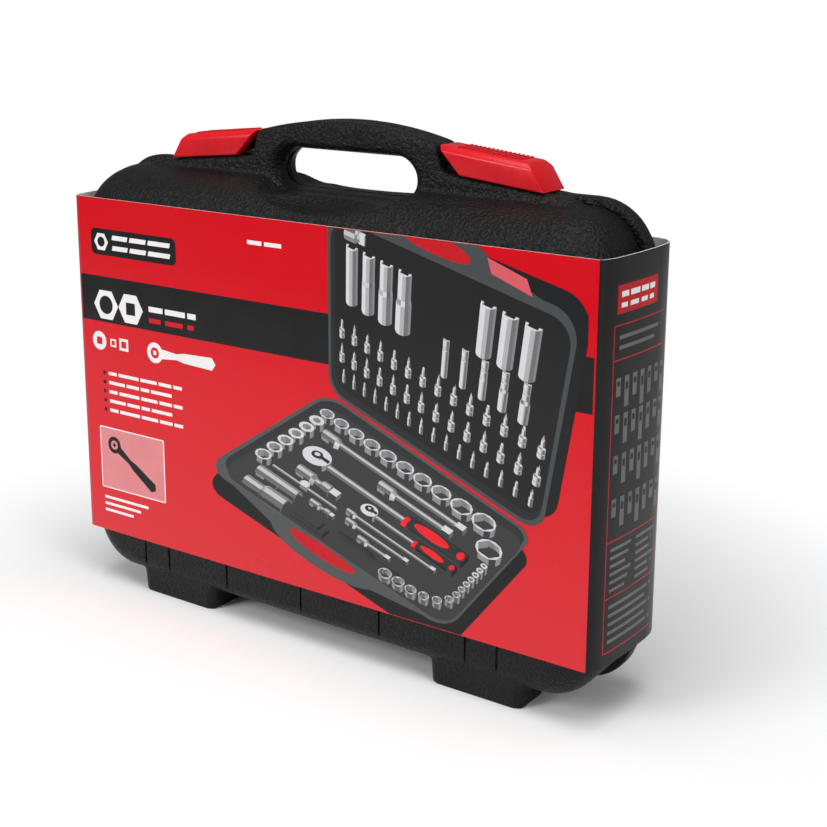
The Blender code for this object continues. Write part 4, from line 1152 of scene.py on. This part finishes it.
def ink(name, *colours, rough=0.30, coat=0.06):
    """A printed colour: slight unevenness of the ink, a gloss film, and a shallow board texture."""
    material, tree, shader = node_kit(name)
    stops = [(0.25 + 0.5 * i / max(len(colours) - 1, 1), colour) for i, colour in enumerate(colours)]
    tone = ramp(tree, noise_texture(tree, 45, 4), *stops) if len(stops) > 1 else None
    if tone is None:
        shader.inputs["Base Color"].default_value = (*colours[0], 1)
    else:
        tree.links.new(tone, shader.inputs["Base Color"])
    gloss = ramp(tree, noise_texture(tree, 14, 3), (0.3, grey(rough - 0.05)), (0.7, grey(rough + 0.08)))
    tree.links.new(gloss, shader.inputs["Roughness"])
    shader.inputs["Specular IOR Level"].default_value = 0.14
    shader.inputs["Coat Weight"].default_value = coat
    shader.inputs["Coat Roughness"].default_value = 0.12
    bump(tree, shader, noise_texture(tree, 30, 4), 0.05, 0.0008)
    return material, tree, shader


red_print, tree, shader = ink("red_print", (0.55, 0.0, 0.006), (0.58, 0.002, 0.010))
height = add_node(tree, "ShaderNodeSeparateXYZ")
tree.links.new(object_coordinates(tree), height.inputs["Vector"])
level = add_node(tree, "ShaderNodeMapRange", {"From Min": sleeve_low, "From Max": sleeve_high})
tree.links.new(height.outputs["Z"], level.inputs["Value"])
fade = ramp(tree, level.outputs["Result"], (0.0, (0.60, 0.026, 0.034)), (0.45, (0.60, 0.012, 0.020)),
            (0.85, (0.56, 0.001, 0.008)))
tree.links.new(fade, shader.inputs["Base Color"])
card_core = ink("card_core", (0.60, 0.55, 0.50), (0.72, 0.67, 0.62), rough=0.7, coat=0.0)[0]
black_print = ink("black_print", (0.008, 0.008, 0.009), (0.012, 0.012, 0.013))[0]
white_print = ink("white_print", (0.72, 0.70, 0.70), (0.80, 0.78, 0.78))[0]
pale_print = ink("pale_print", (0.62, 0.20, 0.21), (0.66, 0.24, 0.25))[0]
side_red = ink("side_red", (0.40, 0.002, 0.006), (0.48, 0.004, 0.010))[0]
dim_print = ink("dim_print", (0.10, 0.10, 0.10), (0.14, 0.14, 0.14))[0]
sleeve_parts = []


def add_print(mesh, material):
    """Keeps a printed shape for the sleeve's one mesh."""
    mesh.materials.clear()
    mesh.materials.append(material)
    sleeve_parts.append(mesh)


def inset_plan(points, amount):
    """The closed plan moved inwards."""
    count = len(points)
    moved = []
    for i, point in enumerate(points):
        before, after = Vector(points[i - 1]), Vector(points[(i + 1) % count])
        along = (after - before).normalized()
        moved.append(Vector(point) + Vector((-along.y, along.x)) * amount)
    return moved


plan = plan_half + [(-x, y) for x, y in reversed(plan_half)]
inner = inset_plan(plan, card_thick)
count = len(plan)
walls, edges = [], []
points = ([(x, y, sleeve_low) for x, y in plan] + [(x, y, sleeve_high) for x, y in plan]
          + [(x, y, sleeve_low) for x, y in inner] + [(x, y, sleeve_high) for x, y in inner])
for i in range(count):
    j = (i + 1) % count
    walls += [(i, j, count + j, count + i), (2 * count + i, 3 * count + i, 3 * count + j, 2 * count + j)]
    edges += [(i, 2 * count + i, 2 * count + j, j), (count + i, count + j, 3 * count + j, 3 * count + i)]
card = mesh_from("card", points, walls + edges)
card.materials.append(red_print)
card.materials.append(card_core)
card.materials.append(black_print)
for face in card.polygons:
    centre = face.center
    if abs(face.normal.z) > 0.9:
        face.material_index = 1
    elif abs(centre.x) > 0.1872 and centre.y > panel_y + 0.0001 or centre.y > 0.03:
        face.material_index = 2
for face in card.polygons:
    outwards = Vector((face.center.x, face.center.y, 0)).dot(face.normal)
    if abs(face.normal.z) < 0.9 and outwards < 0:
        face.material_index = 1
sleeve_parts.append(smooth(card, 30))


def printed(outline, material, level=1):
    """A shape on the front panel; a higher level lies over a lower one."""
    step = 0.00004
    add_print(plate("print", outline, panel_y - step * level, panel_y + 0.0001), material)


def bar(x0, x1, z0, z1, material, level=1, lean=0.0):
    """A printed box, leaning sideways at its top if asked."""
    printed([(x0, z0), (x1, z0), (x1 + lean, z1), (x0 + lean, z1)], material, level)


def disc(x, z, radius, material, level=1, sides=32, turn=0.0):
    """A printed disc, or a polygon when it has few sides."""
    printed([(x + radius * math.cos(turn + 2 * math.pi * i / sides),
              z + radius * math.sin(turn + 2 * math.pi * i / sides)) for i in range(sides)], material, level)


def ratchet_drawing(x, z, scale, angle, material, level, hollow=None):
    """A generic ratchet seen from above, as a pictogram."""
    outline = []
    for i in range(21):
        a = math.radians(28 + 304 * i / 20)
        outline.append((0.016 * math.cos(a), 0.016 * math.sin(a)))
    outline += [(0.045, -0.0045), (0.060, -0.0075), (0.115, -0.0095), (0.122, 0.0), (0.115, 0.0095),
                (0.060, 0.0075), (0.045, 0.0045)]
    c, s = math.cos(angle) * scale, math.sin(angle) * scale
    printed([(x + c * u - s * v, z + s * u + c * v) for u, v in outline], material, level)
    disc(x, z, 0.0085 * scale, hollow, level + 1)
    disc(x, z, 0.0045 * scale, material, level + 2, 4, angle + 0.785)


bar(-0.1868, 0.1868, 0.1810, 0.2110, black_print, 1)
printed(round_box(-0.1760, -0.1020, 0.2250, 0.2420, 0.0040), black_print, 1)
disc(-0.1670, 0.2335, 0.0062, white_print, 2, 6)
disc(-0.1670, 0.2335, 0.0032, black_print, 3)
for row, (low, high) in enumerate(((0.2355, 0.2385), (0.2288, 0.2318))):
    for column, (x0, x1) in enumerate(((-0.1575, -0.1440), (-0.1420, -0.1280), (-0.1260, -0.1075))):
        bar(x0, x1, low, high, white_print, 2, 0.0008)
for number, x in enumerate((-0.1650, -0.1430)):
    disc(x, 0.1925, 0.0108, white_print, 2, 6)
    disc(x, 0.1925, 0.0056 if number else 0.0060, black_print, 3, 4 if number else 32, 0.785)
for x0, x1 in ((-0.1270, -0.1150), (-0.1130, -0.0960), (-0.0940, -0.0870)):
    bar(x0, x1, 0.1930, 0.1965, white_print, 2)
    bar(x0, x1 - 0.002, 0.1860, 0.1890, red_print, 2)
disc(-0.1725, 0.1680, 0.0062, white_print, 1)
disc(-0.1725, 0.1680, 0.0034, red_print, 2, 4, 0.785)
for x, half in ((-0.1600, 0.0026), (-0.1505, 0.0040)):
    bar(x - half, x + half, 0.1680 - half, 0.1680 + half, white_print, 1)
    bar(x - half * 0.55, x + half * 0.55, 0.1680 - half * 0.55, 0.1680 + half * 0.55, red_print, 2)
ratchet_drawing(-0.1230, 0.1670, 0.42, 0.0, white_print, 1, red_print)
for row in range(5):
    z = 0.1470 - 0.0062 * row
    bar(-0.1705, -0.1683, z - 0.0012, z + 0.0012, black_print, 1)
    x = -0.1655
    for step in range(5 - row % 2):
        width = 0.0075 + 0.0035 * ((step * 3 + row * 2) % 4)
        bar(x, x + width, z - 0.0011, z + 0.0011, white_print, 1)
        x += width + 0.0016
printed(round_box(-0.1760, -0.1180, 0.0675, 0.1100, 0.0010), white_print, 1)
printed(round_box(-0.1752, -0.1188, 0.0683, 0.1092, 0.0008), pale_print, 2)
ratchet_drawing(-0.1630, 0.0985, 0.36, math.radians(-34), black_print, 3, pale_print)
for row in range(3):
    z = 0.0600 - 0.0045 * row
    bar(-0.1740, -0.1340 - 0.007 * row, z, z + 0.0018, white_print, 1)
for x0, x1 in ((-0.0440, -0.0330), (-0.0310, -0.0180)):
    bar(x0, x1, 0.2450, 0.2475, white_print, 1)


def side_x(y):
    """The right panel's x at a depth."""
    for (x0, y0), (x1, y1) in zip(plan_half, plan_half[1:]):
        if y0 <= y <= y1:
            return x0 + (x1 - x0) * (y - y0) / (y1 - y0)
    return plan_half[-1][0]


def side_print(y0, y1, z0, z1, material, level=1):
    """A box on the right panel that follows its bend."""
    steps = max(2, int(abs(y1 - y0) / 0.005) + 1)
    rise, sunk = 0.00006 * level, 0.0002
    rows = [y0 + (y1 - y0) * i / (steps - 1) for i in range(steps)]
    rings = [[(side_x(y) - sunk, y, z0), (side_x(y) + rise, y, z0), (side_x(y) + rise, y, z1),
              (side_x(y) - sunk, y, z1)] for y in rows]
    add_print(loft("side_print", rings), material)


side_print(-0.0270, 0.0140, 0.2320, 0.2470, side_red)
for x0, x1 in ((-0.0235, -0.0170), (-0.0150, -0.0060), (-0.0040, 0.0035), (0.0050, 0.0105)):
    side_print(x0, x1, 0.2405, 0.2435, white_print, 2)
    side_print(x0, x1 - 0.001, 0.2350, 0.2375, white_print, 2)
line_half, line_front, line_rear, line_low, line_high = 0.00035, -0.0290, 0.0280, 0.0450, 0.2260
for z in (line_high, 0.2076, 0.1084, 0.0765, line_low):
    side_print(line_front, line_rear, z - line_half, z + line_half, side_red)
for y in (line_front, line_rear):
    side_print(y - line_half, y + line_half, line_low, line_high, side_red)
for row in range(2):
    side_print(-0.0240, 0.0200 - 0.008 * row, 0.2185 - 0.0055 * row, 0.2205 - 0.0055 * row, dim_print)
for column, y in enumerate((-0.0235, -0.0155, -0.0075, 0.0005, 0.0085, 0.0165, 0.0235)):
    length = 0.010 + 0.0022 * ((column * 3) % 5)
    for z in (0.1980, 0.1780, 0.1560, 0.1320):
        side_print(y - 0.0021, y + 0.0021, z - length, z, dim_print)
        side_print(y - 0.0012, y + 0.0012, z - length * 0.45, z - length * 0.2, black_print, 2)
for row in range(6):
    for first, last in ((-0.0250, -0.0040), (0.0010, 0.0230)):
        z = 0.1035 - 0.0046 * row
        side_print(first, last - 0.003 * (row % 3), z - 0.0009, z + 0.0009, dim_print)
for row in range(5):
    z = 0.0710 - 0.0050 * row
    side_print(-0.0250, 0.0210 - 0.007 * (row % 2), z - 0.0010, z + 0.0010, dim_print)


# Sleeve's picture. The printed view of the opened case, as a very low relief: each half's tools are
# laid down through a perspective map, shaded by their own faces and clipped at the panel's edges.


def perspective_map(targets):
    """The map of a case half's rectangle to four corners of the picture."""
    low, high, half = body_bottom, body_top, case_half
    sources = ((-half, high), (-half, low), (half, high), (half, low))
    rows, values = [], []
    for (x, z), (u, v) in zip(sources, targets):
        rows += [[x, z, 1, 0, 0, 0, -x * u, -z * u], [0, 0, 0, x, z, 1, -x * v, -z * v]]
        values += [u, v]
    return np.append(np.linalg.solve(np.array(rows), np.array(values)), 1).reshape(3, 3)


front_corners = ((-0.0812, 0.1004), (0.0148, 0.1637), (0.0992, 0.0384), (0.1544, 0.1077))
rear_corners = ((0.0166, 0.2724), (0.0165, 0.1659), (0.1784, 0.2303), (0.1587, 0.1097))
picture_maps = {-1: perspective_map(front_corners), 1: perspective_map(rear_corners)}
lift = {-1: (0.05, 0.40), 1: (-0.20, -0.25)}
relief_low, relief_high, deepest = 0.00010, 0.00038, 0.040
picture_points, picture_faces, picture_tones = [], [], []


def into_picture(points, side, order=0.0):
    """World points to picture points: heights lean over and become a very low relief.

    A higher order lies over a lower one at the same height.
    """
    points = np.asarray(points, float)
    height = (points[:, 1] - hinge_y) * -side
    flat = np.stack([points[:, 0], points[:, 2], np.ones(len(points))], 1) @ picture_maps[side].T
    x = flat[:, 0] / flat[:, 2] + lift[side][0] * height
    z = flat[:, 1] / flat[:, 2] + lift[side][1] * height
    share = np.clip((height + deepest) / (deepest + 0.004) + order, 0, 1)
    return np.stack([x, panel_y - relief_low - (relief_high - relief_low) * share, z], 1)


def draw_mesh(mesh, place, side, tint, order=0.0):
    """Adds the faces of a mesh that turn to the reader, each with a tone by the way it faces."""
    points = np.array([tuple(place @ v.co) for v in mesh.vertices])
    turn = place.to_3x3()
    seen = Vector((0.25, -side * 0.85, -0.35 if side < 0 else 0.30)).normalized()
    light = Vector((-0.35, -side * 0.60, 0.70)).normalized()
    laid = into_picture(points, side, order)
    first = len(picture_points)
    picture_points.extend(laid.tolist())
    for face in mesh.polygons:
        normal = (turn @ face.normal).normalized()
        if normal.dot(seen) < 0.02:
            continue
        picture_faces.append([first + i for i in face.vertices])
        middle = place @ face.center
        picture_tones.append(tint(normal.dot(light), (middle.y - hinge_y) * -side))


def draw_shape(outline, y, side, tone, order=0.0):
    """Adds one flat shape of the case itself."""
    laid = into_picture([(x, y, z) for x, z in outline], side, order)
    first = len(picture_points)
    picture_points.extend(laid.tolist())
    picture_faces.append([first + i for i in range(len(outline))])
    picture_tones.append(tone)


def chrome_tint(level, height):
    """Bands of light and dark, as bright plating shows, and brown down in a pocket."""
    stripe = 0.5 + 0.5 * math.cos(9.0 * level + 0.6)
    value = 0.10 + 0.62 * stripe * max(0.25, level + 0.2)
    if height < -0.022:
        return (0.16, 0.11, 0.07)
    return (value, value, value * 1.03)


def dull_tint(*colour):
    return lambda level, height: tuple(c * (0.35 + 0.9 * max(0.0, level)) for c in colour)


def arc(x, z, half_x, half_z, first, last, steps=12):
    turns = [math.radians(first + (last - first) * i / steps) for i in range(steps + 1)]
    return [(x + half_x * math.cos(a), z + half_z * math.sin(a)) for a in turns]


for side, edge_tone, tray_tone in ((-1, (0.075, 0.083, 0.086), (0.040, 0.041, 0.042)),
                                   (1, (0.060, 0.066, 0.069), (0.016, 0.016, 0.017))):
    outer = round_box(-0.193, 0.193, 0.009, 0.285, 0.034, 10)
    body_line = round_box(-0.190, 0.190, 0.011, 0.283, 0.032, 10)
    well = round_box(-0.1840, 0.1840, 0.0170, 0.2680, 0.028, 10)
    draw_shape(outer, hinge_y + side * 0.030, side, (0.012, 0.013, 0.014), -0.5)
    arch = [(-0.150, 0.279)] + arc(0, 0.288, 0.080, 0.0275, 165, 15, 20) + [(0.150, 0.279)]
    draw_shape(arch, hinge_y + side * 0.004, side, edge_tone, -0.40)
    draw_shape(body_line, hinge_y, side, edge_tone, -0.42)
    draw_shape(well, hinge_y, side, tuple(0.35 * c for c in edge_tone), -0.36)
    well_floor = [(x * 0.985, 0.004 + z * 0.978) for x, z in well]
    draw_shape(well_floor, hinge_y + side * tray_recess, side, tray_tone, -0.08)
    hole = arc(0, 0.2925, 0.050, 0.0115, 180, 0, 16) + arc(0, 0.2895, 0.050, 0.0075, 0, -180, 16)
    draw_shape(hole, hinge_y - side * 0.002, side, (0.50, 0.010, 0.016), -0.2)
    if side > 0:
        for mirror in (-1, 1):
            pad = [latch_point(mirror, along, high) for along, high in
                   ((-0.027, 0.0005), (0.027, 0.0005), (0.036, 0.015), (-0.016, 0.015))]
            draw_shape(pad, hinge_y - side * 0.008, side, (0.62, 0.10, 0.12), -0.15)

not_tools = ("front_shell", "rear_shell", "front_tray", "rear_tray", "card_sleeve", "latch", "hinge")
for node in sorted(frame["nodes"]):
    if node.startswith(not_tools):
        continue
    shape = frame["nodes"][node]
    side = 1 if node.startswith(("socket_long", "socket_deep", "drive_adapter")) else -1
    tint = chrome_tint
    if node.endswith("_grip") or node.startswith(("hex_key", "spinner")) or node.endswith("_lever"):
        tint = dull_tint(0.030, 0.030, 0.032)
    draw_mesh(shape.data, shape.matrix_world, side, tint)
for name, side in picture_pieces:
    shape = bpy.data.objects[name]
    look = (dull_tint(0.80, 0.016, 0.024), 0.06) if "inlays" in name else (chrome_tint,)
    draw_mesh(shape.data, shape.matrix_world, side, *look)

picture = bpy.data.meshes.new("picture")
picture.from_pydata(picture_points, [], picture_faces)
tones = picture.color_attributes.new("print_tone", "FLOAT_COLOR", "CORNER")
values = []
for face, tone in zip(picture.polygons, picture_tones):
    values += [*tone, 1.0] * face.loop_total
tones.data.foreach_set("color", values)
bm = bmesh.new()
bm.from_mesh(picture)
margin, picture_right = 0.0004, 0.1830
for place, normal in (((0, 0, sleeve_high - margin), (0, 0, 1)), ((0, 0, sleeve_low + margin), (0, 0, -1)),
                      ((picture_right, 0, 0), (1, 0, 0))):
    bmesh.ops.bisect_plane(bm, geom=bm.verts[:] + bm.edges[:] + bm.faces[:], plane_co=place, plane_no=normal,
                           clear_outer=True)
for face in bm.faces:
    if face.normal.y > 0:
        face.normal_flip()
bm.to_mesh(picture)
bm.free()
picture_print, tree, shader = ink("picture_print", (0.5, 0.5, 0.5))
tone = add_node(tree, "ShaderNodeVertexColor", layer_name="print_tone")
grain = add_node(tree, "ShaderNodeMixRGB", {"Fac": 0.12}, blend_type="MULTIPLY")
tree.links.new(tone.outputs["Color"], grain.inputs["Color1"])
speckle = ramp(tree, noise_texture(tree, 900, 2), (0.3, grey(0.6)), (0.7, grey(1.0)))
tree.links.new(speckle, grain.inputs["Color2"])
tree.links.new(grain.outputs["Color"], shader.inputs["Base Color"])
add_print(picture, picture_print)


def joined_parts(name, meshes):
    """One mesh of all parts, each part keeping its own materials and tones."""
    pieces = []
    for mesh in meshes:
        piece = bpy.data.objects.new("part", mesh)
        bpy.context.scene.collection.objects.link(piece)
        pieces.append(piece)
    with bpy.context.temp_override(active_object=pieces[0], object=pieces[0], selected_objects=pieces,
                                   selected_editable_objects=pieces):
        bpy.ops.object.join()
    pieces[0].name = name
    pieces[0].data.name = name
    return pieces[0]


sleeve = joined_parts("printed_sleeve", sleeve_parts)
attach(sleeve, "sleeve")
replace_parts(sleeve, "card_sleeve")
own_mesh(sleeve)
